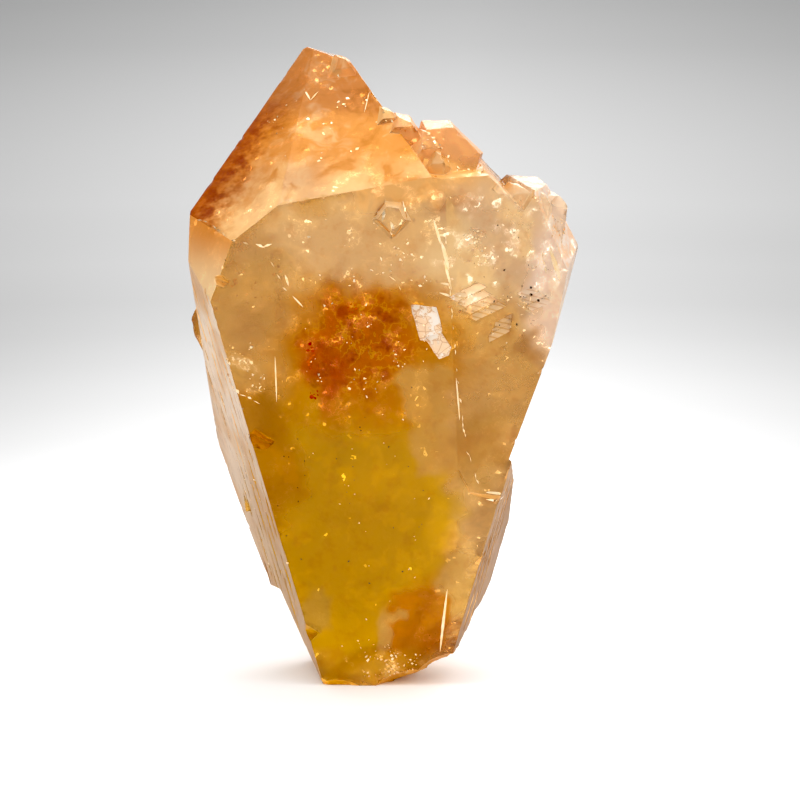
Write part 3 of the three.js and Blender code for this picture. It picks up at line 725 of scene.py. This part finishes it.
# the steps that the material is built from: node, sockets that its values go to, output taken, settings
nodeSteps = {
    "blend": ("Mix", (0, 6, 7), 2, {"data_type": "RGBA"}),
    "dye": ("Mix", (0, 6, 7), 2, {"data_type": "RGBA", "blend_type": "MULTIPLY"}),
    "toward": ("Mix", (0, 2, 3), 0, {"data_type": "FLOAT"}),
    "ease": (
        "MapRange", ("Value", "From Min", "From Max", "To Min", "To Max"), 0, {"interpolation_type": "SMOOTHSTEP"}
    ),
    "onFaces": ("Attribute", (), "Fac", {}),
    "plus": ("Math", (0, 1), 0, {"operation": "ADD"}),
    "minus": ("Math", (0, 1), 0, {"operation": "SUBTRACT"}),
    "times": ("Math", (0, 1), 0, {"operation": "MULTIPLY"}),
    "larger": ("Math", (0, 1), 0, {"operation": "MAXIMUM"}),
    "smaller": ("Math", (0, 1), 0, {"operation": "MINIMUM"}),
    "below": ("Math", (0, 1), 0, {"operation": "LESS_THAN"}),
    "unsigned": ("Math", (0,), 0, {"operation": "ABSOLUTE"}),
    "wave": ("Math", (0,), 0, {"operation": "SINE"}),
    "shifted": ("VectorMath", (0, 1), 0, {"operation": "ADD"}),
    "offset": ("VectorMath", (0, 1), 0, {"operation": "SUBTRACT"}),
    "stretched": ("VectorMath", (0, 1), 0, {"operation": "MULTIPLY"}),
    "shrunk": ("VectorMath", (0, 1), 0, {"operation": "DIVIDE"}),
    "scaled": ("VectorMath", (0, "Scale"), 0, {"operation": "SCALE"}),
    "along": ("VectorMath", (0, 1), "Value", {"operation": "DOT_PRODUCT"}),
    "length": ("VectorMath", (0,), "Value", {"operation": "LENGTH"}),
}


def makeHoneyCalcite(setup):
    material, tree, output = newMaterial("honeyCalciteGrownAndCleaved")

    def step(name, *values, **settings):
        kind, sockets, taken, fixed = nodeSteps[name]
        return addNode(tree, kind, dict(zip(sockets, values)), **fixed, **settings).outputs[taken]

    # the spaces that patterns are laid out in, in mm
    where = step("scaled", addNode(tree, "TexCoord").outputs["Object"], 1 / mm)
    place = addNode(tree, "SeparateXYZ", {0: where})
    xOfPlace, height = place.outputs["X"], place.outputs["Z"]
    swirls = addNode(tree, "TexNoise", {"Vector": where, **setup["swirls"]}).outputs["Color"]
    wander = step("scaled", step("offset", swirls, (0.5, 0.5, 0.5)), setup["wander"])
    drifted = step("shifted", where, wander)
    spaces = {"still": where, "drifted": drifted, "upright": step("stretched", where, (0.5, 0.5, 1.0))}
    patterns = {}
    for name, (space, size, detail, roughness) in setup["patterns"].items():
        look = {"Vector": spaces[space], "Scale": 1 / size, "Detail": detail, "Roughness": roughness}
        patterns[name] = addNode(tree, "TexNoise", look).outputs["Fac"]
    fineCloud, broadCloud, billow, streaks, clusters, fineSkin, hills = patterns.values()
    contour = step("unsigned", step("minus", fineCloud, 0.5))  # thin winding lines where this is near 0

    colour = step("blend", step("ease", broadCloud, *setup["cloudyWhere"]), setup["clear"], setup["cloudy"])
    clear = step("ease", fineCloud, *setup["seenThrough"])
    # how much of each place has painted chip glints
    chips = setup["chips"]["allOver"]
    softOut, softIn = setup["softEdge"]
    for at, half, soft, share, tint, seenThrough, glints in setup["zones"]:
        offset = step("shrunk", step("offset", drifted, at), half)
        mask = step("ease", step("length", offset), 1 + softOut * soft, 1 - softIn * soft, 0.0, share)
        colour = step("blend", mask, colour, tint)
        clear = step("toward", mask, clear, seenThrough)
        chips = step("toward", mask, chips, glints)
        if at == setup["veined"]:
            veins = setup["veins"]
            gold = step("times", mask, step("ease", contour, *veins["goldWhere"]))
            rust = step("times", mask, step("ease", fineCloud, *veins["rustWhere"]))
            colour = step("blend", rust, step("blend", gold, colour, veins["gold"]), veins["rust"])
    wisps = setup["wisps"]
    colour = step("dye", step("ease", fineCloud, *wisps["brownWhere"]), colour, wisps["brown"])
    colour = step("dye", step("ease", billow, *wisps["strawWhere"]), colour, wisps["straw"])

    # the point: warm orange, creamy towards its lower edge, clouded with brown
    tints = setup["point"]
    driftedHeight = addNode(tree, "SeparateXYZ", {0: drifted}).outputs["Z"]
    point = step("blend", step("ease", driftedHeight, *tints["turns"]), tints["low"], tints["high"])
    brown = step("times", step("ease", billow, *tints["brownWhere"]), step("ease", height, *tints["brownUp"]))
    point = step("blend", brown, point, tints["brown"])
    point = step("blend", step("ease", billow, *tints["creamWhere"]), point, tints["cream"])
    leftSlope = step("onFaces", attribute_name="leftSlope")
    onPoint = step("larger", step("onFaces", attribute_name="upperFace"), leftSlope)
    colour = step("blend", onPoint, colour, point)

    # along the edge of the left slope it darkens to a streaky band
    band = setup["slopeBand"]
    steep = Vector(band["to"]) - Vector(band["from"])
    across = Vector((steep.z, 0, -steep.x)).normalized()
    fromEdge = step("minus", step("along", where, tuple(across)), across.dot(Vector(band["from"])))
    fromEdge = step("plus", fromEdge, step("ease", streaks, *band["ragged"]))
    onSlope = step("times", leftSlope, step("ease", height, *band["thins"]))
    hemOut, hemIn = band["wide"] + band["hemOut"], band["wide"] + band["hemIn"]
    hem = step("times", step("ease", fromEdge, hemOut, hemIn, 0.0, band["hemShare"]), onSlope)
    colour = step("blend", hem, colour, band["hem"])
    onBand = step("times", step("ease", fromEdge, band["wide"] + band["edgeOut"], band["edgeIn"]), onSlope)
    streaky = step("blend", step("ease", streaks, *band["ragged"][:2]), band["dark"], band["light"])
    colour = step("blend", onBand, colour, streaky)

    corner, pale = setup["corner"], setup["paleFacets"]
    onCorner = step("onFaces", attribute_name="cornerFacet")
    cornerTint = step("blend", step("ease", height, *corner["turns"]), corner["low"], corner["high"])
    colour = step("blend", onCorner, colour, cornerTint)
    onPale = step("times", step("onFaces", attribute_name="paleFacet"), step("ease", xOfPlace, *pale["rightOf"]))
    paleTint = step("blend", step("ease", fineCloud, *pale["brightWhere"]), pale["dull"], pale["bright"])
    colour = step("blend", onPale, colour, paleTint)

    # the side faces
    sides = setup["sides"]
    wide, long = crystalBody["etching"][1:]
    onSides = []
    for kind, look in etchedLooks.items():
        bright, dull, low = sides[kind]
        down, over = downAndOver(look)
        rows = [step("along", where, tuple(way)) for way in (over / wide, down / long)]
        rows = addNode(tree, "CombineXYZ", dict(enumerate(rows))).outputs[0]
        lines = addNode(tree, "TexNoise", {"Vector": rows, "Scale": 1.0, **sides["linePattern"]}).outputs["Fac"]
        side = step("blend", step("ease", broadCloud, *sides["dullWhere"]), bright, dull)
        side = step("blend", step("ease", height, *sides["lowWhere"]), side, low)
        side = step("blend", step("ease", lines, *sides["linesWhere"]), side, sides["lines"])
        onSides.append(step("onFaces", attribute_name=kind))
        colour = step("blend", onSides[-1], colour, side)
    onSides = step("plus", *onSides)

    # painted glints of cleavage chips in the skin: flat cells painted bright, in clusters, with a milky halo that is
    # partly the crystal's own cloudiness and partly painted sheen, and hair cracks painted bright among them
    paintedGlintFlecks = setup["chips"]
    uneven = step("shifted", where, step("scaled", wander, paintedGlintFlecks["uneven"]))
    cells = addNode(tree, "TexVoronoi", {"Vector": uneven, "Scale": 1 / paintedGlintFlecks["size"]})
    pick = addNode(tree, "SeparateColor", {0: cells.outputs["Color"]})
    smooth = step("minus", 1.0, step("larger", onSides, onBand))
    crowd = step("times", step("times", chips, step("ease", clusters, *paintedGlintFlecks["clusters"])), smooth)
    brighter = step("dye", 1.0, colour, paintedGlintFlecks["brighter"])
    brighter = step("blend", step("ease", chips, *paintedGlintFlecks["creamWhere"]), brighter, paintedGlintFlecks["cream"])
    milkySheen = step("smaller", step("times", crowd, paintedGlintFlecks["milkySheen"]), paintedGlintFlecks["milkySheenMost"])
    colour = step("blend", milkySheen, colour, brighter)
    chip = step("below", pick.outputs[0], step("times", crowd, paintedGlintFlecks["share"]))
    chip = step("times", chip, step("ease", contour, *paintedGlintFlecks["crooked"]))  # broken into short crooked strokes
    onPaintedGlints = step("times", chip, step("ease", pick.outputs[1], *paintedGlintFlecks["faintest"]))
    colour = step("blend", onPaintedGlints, colour, brighter)
    hairCrackGlints = step("ease", step("unsigned", step("minus", fineSkin, 0.5)), *paintedGlintFlecks["hairCrackGlints"])
    hairCrackGlints = step("times", step("times", crowd, hairCrackGlints), paintedGlintFlecks["hairCrackGlintShare"])
    colour = step("blend", step("smaller", hairCrackGlints, paintedGlintFlecks["hairCrackGlintMost"]), colour, brighter)

    # the pale cracked patch, whose white is partly a painted reflection, and the stepped plates to its right, with
    # painted light and shade on each step
    patch = setup["cleaved"]
    broken = addNode(tree, "TexVoronoi", {"Vector": uneven, "Scale": patch["cracks"]}, feature="DISTANCE_TO_EDGE")
    whole = step("ease", broken.outputs["Distance"], *patch["crackWide"])
    whole = step("larger", whole, step("ease", fineCloud, *patch["crackBreaks"]))
    whole = step("smaller", whole, step("ease", contour, *patch["vein"]))
    cream = step("blend", step("ease", fineCloud, *patch["creamWhere"]), patch["white"], patch["cream"])
    cream = step("blend", whole, patch["crack"], cream)
    steps = step("wave", step("times", step("along", where, patch["plateWay"]), patch["plateStep"]))
    # painted light and shade: each plate step is painted lighter on one part and darker on the other
    platesLitAndShaded = step("blend", step("ease", steps, *patch["plateEdge"]), patch["plateShadePainted"], patch["plateLightPainted"])
    onPlates = step("ease", xOfPlace, *patch["platesFrom"])
    cream = step("blend", onPlates, cream, platesLitAndShaded)
    cleaved = step("times", step("onFaces", attribute_name="cleavage"), step("ease", onPlates, *patch["share"]))
    colour = step("blend", cleaved, colour, cream)

    scars, chipped = setup["scars"], step("onFaces", attribute_name="chipped")
    lowScars = step("times", chipped, step("ease", place.outputs["Y"], *scars["atFront"]))
    lowScars = step("times", lowScars, step("ease", height, *scars["low"]))
    colour = step("dye", lowScars, colour, scars["lowTint"])
    highScars = step("times", chipped, step("ease", height, *scars["up"]))
    upShare = step("times", highScars, step("ease", height, *scars["upWhere"]))
    colour = step("blend", upShare, colour, scars["upTint"])

    # clearest where it is tan, cloudier in the gold, nearly opaque where it is etched, broken or stained
    places = {
        "sides": onSides, "point": onPoint, "corner": onCorner, "band": onBand, "chips": onPaintedGlints,
        "cleaved": cleaved, "scars": step("plus", highScars, lowScars),
    }
    for name, mask in places.items():
        clear = step("toward", mask, clear, setup["clearness"][name])
    rough = step("ease", clear, *setup["rough"]["byClearness"])
    rough = step("plus", rough, step("times", onSides, setup["rough"]["moreOnSides"]))
    rough = step("toward", onPaintedGlints, rough, setup["rough"]["chips"])

    # relief too fine for the mesh: a faint skin on low hills
    relief = setup["relief"]
    faint = {"Strength": relief["strength"], "Height": fineSkin, "Distance": relief["fineSkin"] * mm}
    skinBump = addNode(tree, "Bump", faint).outputs[0]
    low = {"Strength": relief["strength"], "Height": hills, "Distance": relief["hills"] * mm, "Normal": skinBump}
    hillBump = addNode(tree, "Bump", low).outputs[0]

    surface = {"Base Color": colour, "Roughness": rough, "Transmission Weight": clear, "Normal": hillBump}
    finish = {"IOR": setup["ior"], "Specular IOR Level": setup["shine"]}
    shader = addNode(tree, "BsdfPrincipled", {**surface, **finish})
    soak = {"Color": setup["absorption"], "Density": setup["absorptionDensity"]}
    absorbed = addNode(tree, "VolumeAbsorption", soak)
    tree.links.new(shader.outputs[0], output.inputs["Surface"])
    tree.links.new(absorbed.outputs[0], output.inputs["Volume"])
    return material


body.materials.append(makeHoneyCalcite(honeyCalcite))
print("body material made")

# What lies inside: fractures that glint, iron-stained flakes, dark grains

flakes = {
    "seed": 7,
    "thick": 0.04,  # mm
    "fourCornered": 0.6,  # share of them
    "slim": (0.35, 0.95),
    "skew": (0.6, 1.0),
    "turn": (0, 6.3),  # radians, any way round
    "unevenCorners": 0.25,  # radians
    "tries": 12,  # how many places are tried for each flake of a cloud
    "coverInClouds": 0.35,  # how far under the skin its middle stays, in sizes of a flake
    "coverInVeils": 0.6,
    "smallInClouds": 2.2,  # the higher, the more of them are small
    "smallInVeils": 2.0,
    "gatherSize": 4.0,  # mm across, the groups in a cloud
    "veilWave": (1.5, 7),  # mm high, mm across
    "veilHoles": (2.5, -0.15),  # mm across, and how many: from -1 for none to 1 for all
    "veilTwist": 0.3,  # how far its corners bend out of it
    "veilTilt": 0.25,
    "sliverPart": 0.7,  # mm
    "sliverTips": (0.12, 0.7),  # how blunt they are, and a power: the lower, the sooner it is broad
    "sliverSides": (1.1, 0.8),  # times half the width, on one side and the other
    "sliverUneven": (0.75, 1.1),  # times the width
    "sliverSlant": 0.12,  # how far it tilts out of the skin
    "lift": 0.012,  # mm that slivers lie above the skin
    "crackPart": 1.2,  # mm
    "crackRun": (0.6, 1.2),  # how much of its part a flake takes up
    "crackUneven": (0.5, 1.8),  # times the width
    "crackShake": (0.35, 1.7),  # mm to the side, mm along
    "crackKept": 0.55,  # share of its flakes that are there
}
fullTurn = 6.2832  # radians
skinTree = BVHTree.FromPolygons((skin / mm).tolist(), triangles.tolist())


def depthUnderSkin(p):  # mm, negative outside
    at, normal, _, gap = skinTree.find_nearest(p)
    return gap if (p - at).dot(normal) < 0 else -gap


def addFlake(piece, outline, normal):  # a closed flat flake, unless it would stand outside the specimen's box
    first, n = len(piece["verts"]), len(outline)
    rims = [(p + normal * side * flakes["thick"] / 2) * mm for side in (1, -1) for p in outline]
    if not all(low < value < high for p in rims for low, value, high in zip(cadBox[0], p, cadBox[1])):
        return
    piece["verts"] += rims
    piece["faces"].append([first + i for i in range(n)])
    piece["faces"].append([first + n + i for i in reversed(range(n))])
    for i in range(n):
        j = (i + 1) % n
        piece["faces"].append([first + i, first + n + i, first + n + j, first + j])


def makePiece(name, piece, material):
    mesh = bpy.data.meshes.new(name)
    mesh.from_pydata([tuple(v) for v in piece["verts"]], [], piece["faces"])
    mesh.update()
    mesh.materials.append(material)
    made = bpy.data.objects.new(name, mesh)
    scene.collection.objects.link(made)
    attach(made, "root")
    print(name + ":", len(piece["faces"]), "faces")


def flakeOutline(at, normal, size, dice):  # a skewed, uneven cleavage chip
    u = normal.orthogonal().normalized()
    v = normal.cross(u)
    turn, skew, slim = (dice.uniform(*flakes[name]) for name in ("turn", "skew", "slim"))
    corners = 4 if dice.random() < flakes["fourCornered"] else 5
    outline = []
    for i in range(corners):
        angle = fullTurn * i / corners + dice.uniform(-flakes["unevenCorners"], flakes["unevenCorners"])
        x, y = math.cos(angle) * size / 2, math.sin(angle) * size / 2 * slim
        x += y * (1 - skew)
        acrossU = x * math.cos(turn) - y * math.sin(turn)
        acrossV = x * math.sin(turn) + y * math.cos(turn)
        outline.append(at + u * acrossU + v * acrossV)
    return outline


def randomLook(dice):
    z, turn = dice.uniform(-1, 1), dice.uniform(0, fullTurn)
    r = math.sqrt(1 - z * z)
    return Vector((r * math.cos(turn), r * math.sin(turn), z))


# a cloud: middle and half size in mm, how many, how large in mm, how deep in mm or None for in the skin, how
# much they tilt out of the skin, and from which level of a slow noise on they gather
def fillCloud(piece, cloud, dice):
    at, half, count, (smallest, largest), deep, tilt, gather = cloud
    if not deep:
        far = (skin / mm - np.array(at)) / np.array(half)
        places = np.nonzero((far**2).sum(1) < 1)[0]
        if not len(places):
            return
    made = 0
    for _ in range(count * flakes["tries"]):
        if made == count:
            break
        size = smallest + (largest - smallest) * dice.random() ** flakes["smallInClouds"]
        if deep:
            spot = randomLook(dice) * dice.random() ** 0.5
            p = Vector([c + h * s for c, h, s in zip(at, half, spot)])
            if not deep[0] + flakes["coverInClouds"] * size < depthUnderSkin(p) < deep[1]:
                continue
        else:
            p = Vector(skin[places[dice.randrange(len(places))]] / mm)
        if noise.noise(p / flakes["gatherSize"]) < gather:
            continue
        _, facing, _, _ = skinTree.find_nearest(p)
        normal = (facing + randomLook(dice) * tilt).normalized()
        addFlake(piece, flakeOutline(p, normal, size, dice), normal)
        made += 1


# a veil, a healed crack with small flakes nearly flat in it: middle in mm, which way it looks, half sizes in mm,
# how many, how large in mm
def fillVeil(piece, veil, dice):
    at, look, (wide, tall), count, (smallest, largest) = veil
    normal = direction(*look)
    u = normal.orthogonal().normalized()
    v = normal.cross(u)
    waveHeight, waveWide = flakes["veilWave"]
    holeWide, holes = flakes["veilHoles"]
    for _ in range(count):
        a, b = dice.uniform(-1, 1), dice.uniform(-1, 1)
        p = Vector(at) + u * a * wide + v * b * tall
        p += normal * (waveHeight * noise.noise(p / waveWide) + 0.5 * a * b * wide * flakes["veilTwist"])
        size = smallest + (largest - smallest) * dice.random() ** flakes["smallInVeils"]
        if noise.noise(p / holeWide) < holes or depthUnderSkin(p) < flakes["coverInVeils"] * size:
            continue
        lean = (normal + randomLook(dice) * flakes["veilTilt"]).normalized()
        addFlake(piece, flakeOutline(p, lean, size, dice), lean)


def onFront(x, z):  # the place on the skin that is seen there from the front
    hit, normal, _, _ = skinTree.ray_cast(Vector((x, -60, z)), Vector((0, 1, 0)))
    return hit, normal


def addSliver(piece, start, end, width, dice):  # slim, tapered to both ends, and lying on the skin
    run, rise = end[0] - start[0], end[1] - start[1]
    parts = max(2, round(math.hypot(run, rise) / flakes["sliverPart"]))
    slant = dice.uniform(-flakes["sliverSlant"], flakes["sliverSlant"])
    (blunt, taper), (broader, slimmer) = flakes["sliverTips"], flakes["sliverSides"]
    rims = []
    for i in range(parts + 1):
        t = i / parts
        at, normal = onFront(start[0] + run * t, start[1] + rise * t)
        if at is None:
            return
        side = normal.cross(Vector((run, 0, rise))).normalized()
        half = width / 2 * (blunt + math.sin(math.pi * t) ** taper) * dice.uniform(*flakes["sliverUneven"])
        at += normal * flakes["lift"]
        tilt = normal * slant * half
        rims.append((at + side * half * broader + tilt, at - side * half * slimmer - tilt, normal))
    for (a, b, normal), (c, d, _) in zip(rims, rims[1:]):
        addFlake(piece, [a, b, d, c], normal)


def addCrack(piece, line, width, dice):  # a row of slim flakes that follows the skin, some of them missing
    aside, along = flakes["crackShake"]
    for (x0, z0), (x1, z1) in zip(line, line[1:]):
        parts = max(1, round(math.hypot(x1 - x0, z1 - z0) / flakes["crackPart"]))
        for i in range(parts):
            places = []
            for t in (i / parts, (i + dice.uniform(*flakes["crackRun"])) / parts):
                x, z = x0 + (x1 - x0) * t, z0 + (z1 - z0) * t
                shake = aside * noise.noise(Vector((x, z, 3)) / along)
                places.append((x + shake, z + shake))
            if dice.random() < flakes["crackKept"]:
                addSliver(piece, *places, width * dice.uniform(*flakes["crackUneven"]), dice)


# a flake's material: two tones that change with place, this many changes to a mm
def makeFlakeMaterial(name, setup):
    material, tree, output = newMaterial(name)
    where = addNode(tree, "TexCoord").outputs["Object"]
    spots = {"Vector": where, "Scale": setup["changes"] / mm, "Detail": setup["detail"]}
    tone = addNode(tree, "TexNoise", spots).outputs["Fac"]
    ramp = addNode(tree, "ValToRGB", {"Fac": tone})
    for point, position, tint in zip(ramp.color_ramp.elements, setup["turns"], setup["tones"]):
        point.position, point.color = position, linearColour(tint)
    shader = addNode(tree, "BsdfPrincipled", {"Base Color": ramp.outputs[0], **setup["finish"]})
    tree.links.new(shader.outputs[0], output.inputs["Surface"])
    return material


dice = random.Random(flakes["seed"])
anyWay, evenly = 1.0, -1

# Air in a crack of clear calcite: it throws light back like a small mirror, cream on gold
fractureGlints = {
    "tones": ("#fff0d8", "#f8c880"),
    "turns": (0.0, 1.0),
    "changes": 0.9,
    "detail": 1.0,
    "finish": {"Roughness": 0.12, "Metallic": 1.0},
    "clouds": [
        ((-3, -17, 66), (13, 7, 13), 120, (0.3, 0.8), (0.0, 6), 0.6, 0.0),
        ((-2, -18.5, 66), (12, 5, 12), 60, (0.25, 0.8), None, 0.3, 0.15),
        ((22, -15, 84), (14, 7, 10), 140, (0.3, 0.9), (0.0, 4), 0.6, 0.0),
        ((25, -17, 83), (13, 6, 11), 130, (0.2, 0.75), None, 0.3, 0.2),
        ((12, -19, 84), (9, 5, 9), 50, (0.25, 0.9), None, 0.3, 0.2),
        ((-24, -17, 61), (4, 5, 7), 60, (0.25, 0.9), None, 0.35, 0.05),
        ((-8, -8, 104), (14, 12, 12), 40, (0.3, 1.0), None, 0.35, 0.25),
        ((6, -16, 98), (12, 7, 7), 50, (0.3, 1.0), None, 0.35, 0.2),
        ((0, -8, 6), (9, 6, 5), 90, (0.25, 1.0), None, 0.4, 0.05),
        ((-2, -11, 34), (17, 8, 26), 16, (0.2, 0.7), None, 0.35, 0.25),
        ((-8, -20, 84), (14, 5, 7), 26, (0.3, 0.9), None, 0.35, 0.25),
        ((26, -12, 62), (8, 8, 16), 24, (0.2, 0.7), None, 0.35, 0.2),
        ((0, 6, 60), (34, 24, 55), 200, (0.25, 0.8), None, 0.4, 0.15),
    ],
    "veils": [
        ((9, -17, 78), (35, 20), (5, 9), 170, (0.3, 0.9)),
        ((-21, -15, 80), (-30, 35), (7, 5), 110, (0.3, 0.9)),
        ((23, -12, 70), (20, -40), (7, 6), 130, (0.25, 0.8)),
        ((-9, -12, 48), (-15, 50), (9, 7), 50, (0.25, 0.7)),
        ((8, -9, 30), (30, 45), (8, 8), 30, (0.25, 0.7)),
        ((-14, -6, 104), (-20, 20), (6, 7), 110, (0.3, 0.8)),
        ((4, 8, 70), (170, 30), (12, 12), 160, (0.3, 0.9)),
    ],
    # thin bright edges of cracks in the skin, broken off here and there: by (x, z) in mm, and their width
    "cracks": [
        ([(-33, 88), (-30, 87.4), (-26.1, 85.7), (-23, 85.1), (-20.7, 83.9), (-18.4, 80.8), (-16.4, 76)], 0.2),
        ([(12.2, 88), (12.8, 80), (13.5, 72), (14.2, 63), (15.3, 54), (16.4, 46), (18.6, 39.6)], 0.2),
        ([(29.3, 84), (30.8, 79), (31.6, 74)], 0.25),
        ([(0.4, 82.5), (1.2, 80), (3.2, 78.2), (4.4, 76.3)], 0.25),
        ([(25.2, 73.6), (29.8, 70.2)], 0.12),
        ([(27.9, 74.8), (27.2, 68.6)], 0.12),
        ([(24.9, 70.9), (29.9, 73.0)], 0.12),
        ([(-28, 61), (-25, 57), (-21.5, 55)], 0.3),
    ],
    # slim chips that taper to both ends: from, to, width, by (x, z) in mm
    "slivers": [
        ((10.1, 89.5), (11.4, 84.9), 0.5), ((11.5, 85.5), (12.9, 80.1), 0.7), ((12.0, 82), (13.4, 76.5), 0.45),
        ((31.2, 83.6), (33.2, 77.5), 0.9), ((-13.6, 111.3), (-12.3, 109.4), 0.35),
        ((-12.3, 109.4), (-10.9, 110.9), 0.35), ((-18.6, 64.1), (-18.4, 55.5), 0.3),
        ((-16.6, 79.3), (-16.0, 77.3), 0.5), ((-15.3, 75.4), (-13.4, 73.3), 0.35), ((-21.8, 85), (-20.2, 84.3), 0.5),
        ((-20.4, 84.5), (-18.9, 85), 0.5), ((-1.5, 111), (-2.4, 107.5), 0.2), ((11.6, 6.8), (12.9, 19.2), 0.5),
        ((19.9, 37.9), (23.4, 37.3), 0.6), ((19.9, 36.8), (23.4, 36.2), 0.45), ((14.3, 60), (15, 52), 0.3),
        ((11.4, 77.8), (13.4, 77.4), 0.5), ((11.2, 76), (13.6, 75.2), 0.4),
        # the little crystal that the front has grown round: its bright rims
        ((-0.5, 90.0), (1.6, 93.0), 0.9), ((-0.4, 89.9), (3.2, 86.4), 0.8), ((3.1, 86.4), (5.4, 89.8), 0.6),
        ((5.4, 89.6), (4.6, 92.9), 0.4), ((2.4, 89.4), (3.0, 87.4), 0.7), ((1.4, 91.6), (0.9, 89.4), 0.6),
    ],
}
glints = {"verts": [], "faces": []}
for cloud in fractureGlints["clouds"]:
    fillCloud(glints, cloud, dice)
for veil in fractureGlints["veils"]:
    fillVeil(glints, veil, dice)
for line, width in fractureGlints["cracks"]:
    addCrack(glints, line, width, dice)
for start, end, width in fractureGlints["slivers"]:
    addSliver(glints, start, end, width, dice)
makePiece("fractureGlints", glints, makeFlakeMaterial("calciteFractureCleaved", fractureGlints))

# Goethite on inner cracks: rusty orange and dull
ironFlakes = {
    "tones": ("#9c1e00", "#c86a08"),
    "turns": (0.38, 0.62),
    "changes": 0.26,
    "detail": 2.0,
    "finish": {"Roughness": 0.6, "Specular IOR Level": 0.1},
    "clouds": [
        ((-3, -17, 67), (9, 6, 9), 420, (0.3, 1.1), (0.8, 9), anyWay, evenly),
        ((-10, -17, 61), (2.6, 5, 7), 160, (0.25, 0.8), (0.6, 6), anyWay, evenly),
        ((-11.6, -17.6, 58.8), (0.9, 1.4, 1.0), 26, (0.3, 0.8), (0.3, 2.5), anyWay, evenly),
        ((-4, -19.4, 72.6), (1.1, 1.4, 0.9), 16, (0.25, 0.6), (0.3, 2.5), anyWay, evenly),
        ((-12.1, -18, 64), (0.6, 4, 3.2), 26, (0.4, 1.1), None, 0.15, evenly),
        ((-11.7, -17, 57.2), (1, 4, 1.2), 16, (0.4, 1.0), None, 0.15, evenly),
        ((-4.6, -20, 73.1), (1.3, 4, 0.9), 10, (0.3, 0.9), None, 0.15, evenly),
        ((-28, -6, 95), (7, 7, 12), 260, (0.3, 1.0), (0.3, 4), anyWay, evenly),
        ((8, -10, 13), (5, 4, 8), 90, (0.3, 0.9), (0.8, 6), anyWay, evenly),
    ],
}
iron = {"verts": [], "faces": []}
for cloud in ironFlakes["clouds"]:
    fillCloud(iron, cloud, dice)
makePiece("ironFlakes", iron, makeFlakeMaterial("goethiteStainOnCracks", ironFlakes))

# Manganese oxide grains: nearly black, dull
darkGrains = {
    "tones": ("#140c06", "#3a2412"),
    "turns": (0.0, 1.0),
    "changes": 1.5,
    "detail": 2.0,
    "finish": {"Roughness": 0.6},
    "clouds": [
        ((26, -17, 76), (7, 4, 8), 18, (0.25, 0.6), None, 0.5, evenly),
        ((28, -16, 74), (3, 4, 4), 12, (0.3, 0.8), None, 0.5, evenly),
        ((20, -18, 84), (9, 4, 9), 8, (0.25, 0.5), None, 0.5, evenly),
        ((-2, -15, 42), (18, 5, 28), 26, (0.3, 0.6), None, 0.5, evenly),
        ((-4, -20, 80), (26, 5, 12), 14, (0.18, 0.36), None, 0.5, evenly),
        ((0, 5, 60), (34, 24, 50), 60, (0.2, 0.45), None, 0.5, evenly),
    ],
}
grains = {"verts": [], "faces": []}
for cloud in darkGrains["clouds"]:
    fillCloud(grains, cloud, dice)
makePiece("darkGrains", grains, makeFlakeMaterial("manganeseOxideGrains", darkGrains))
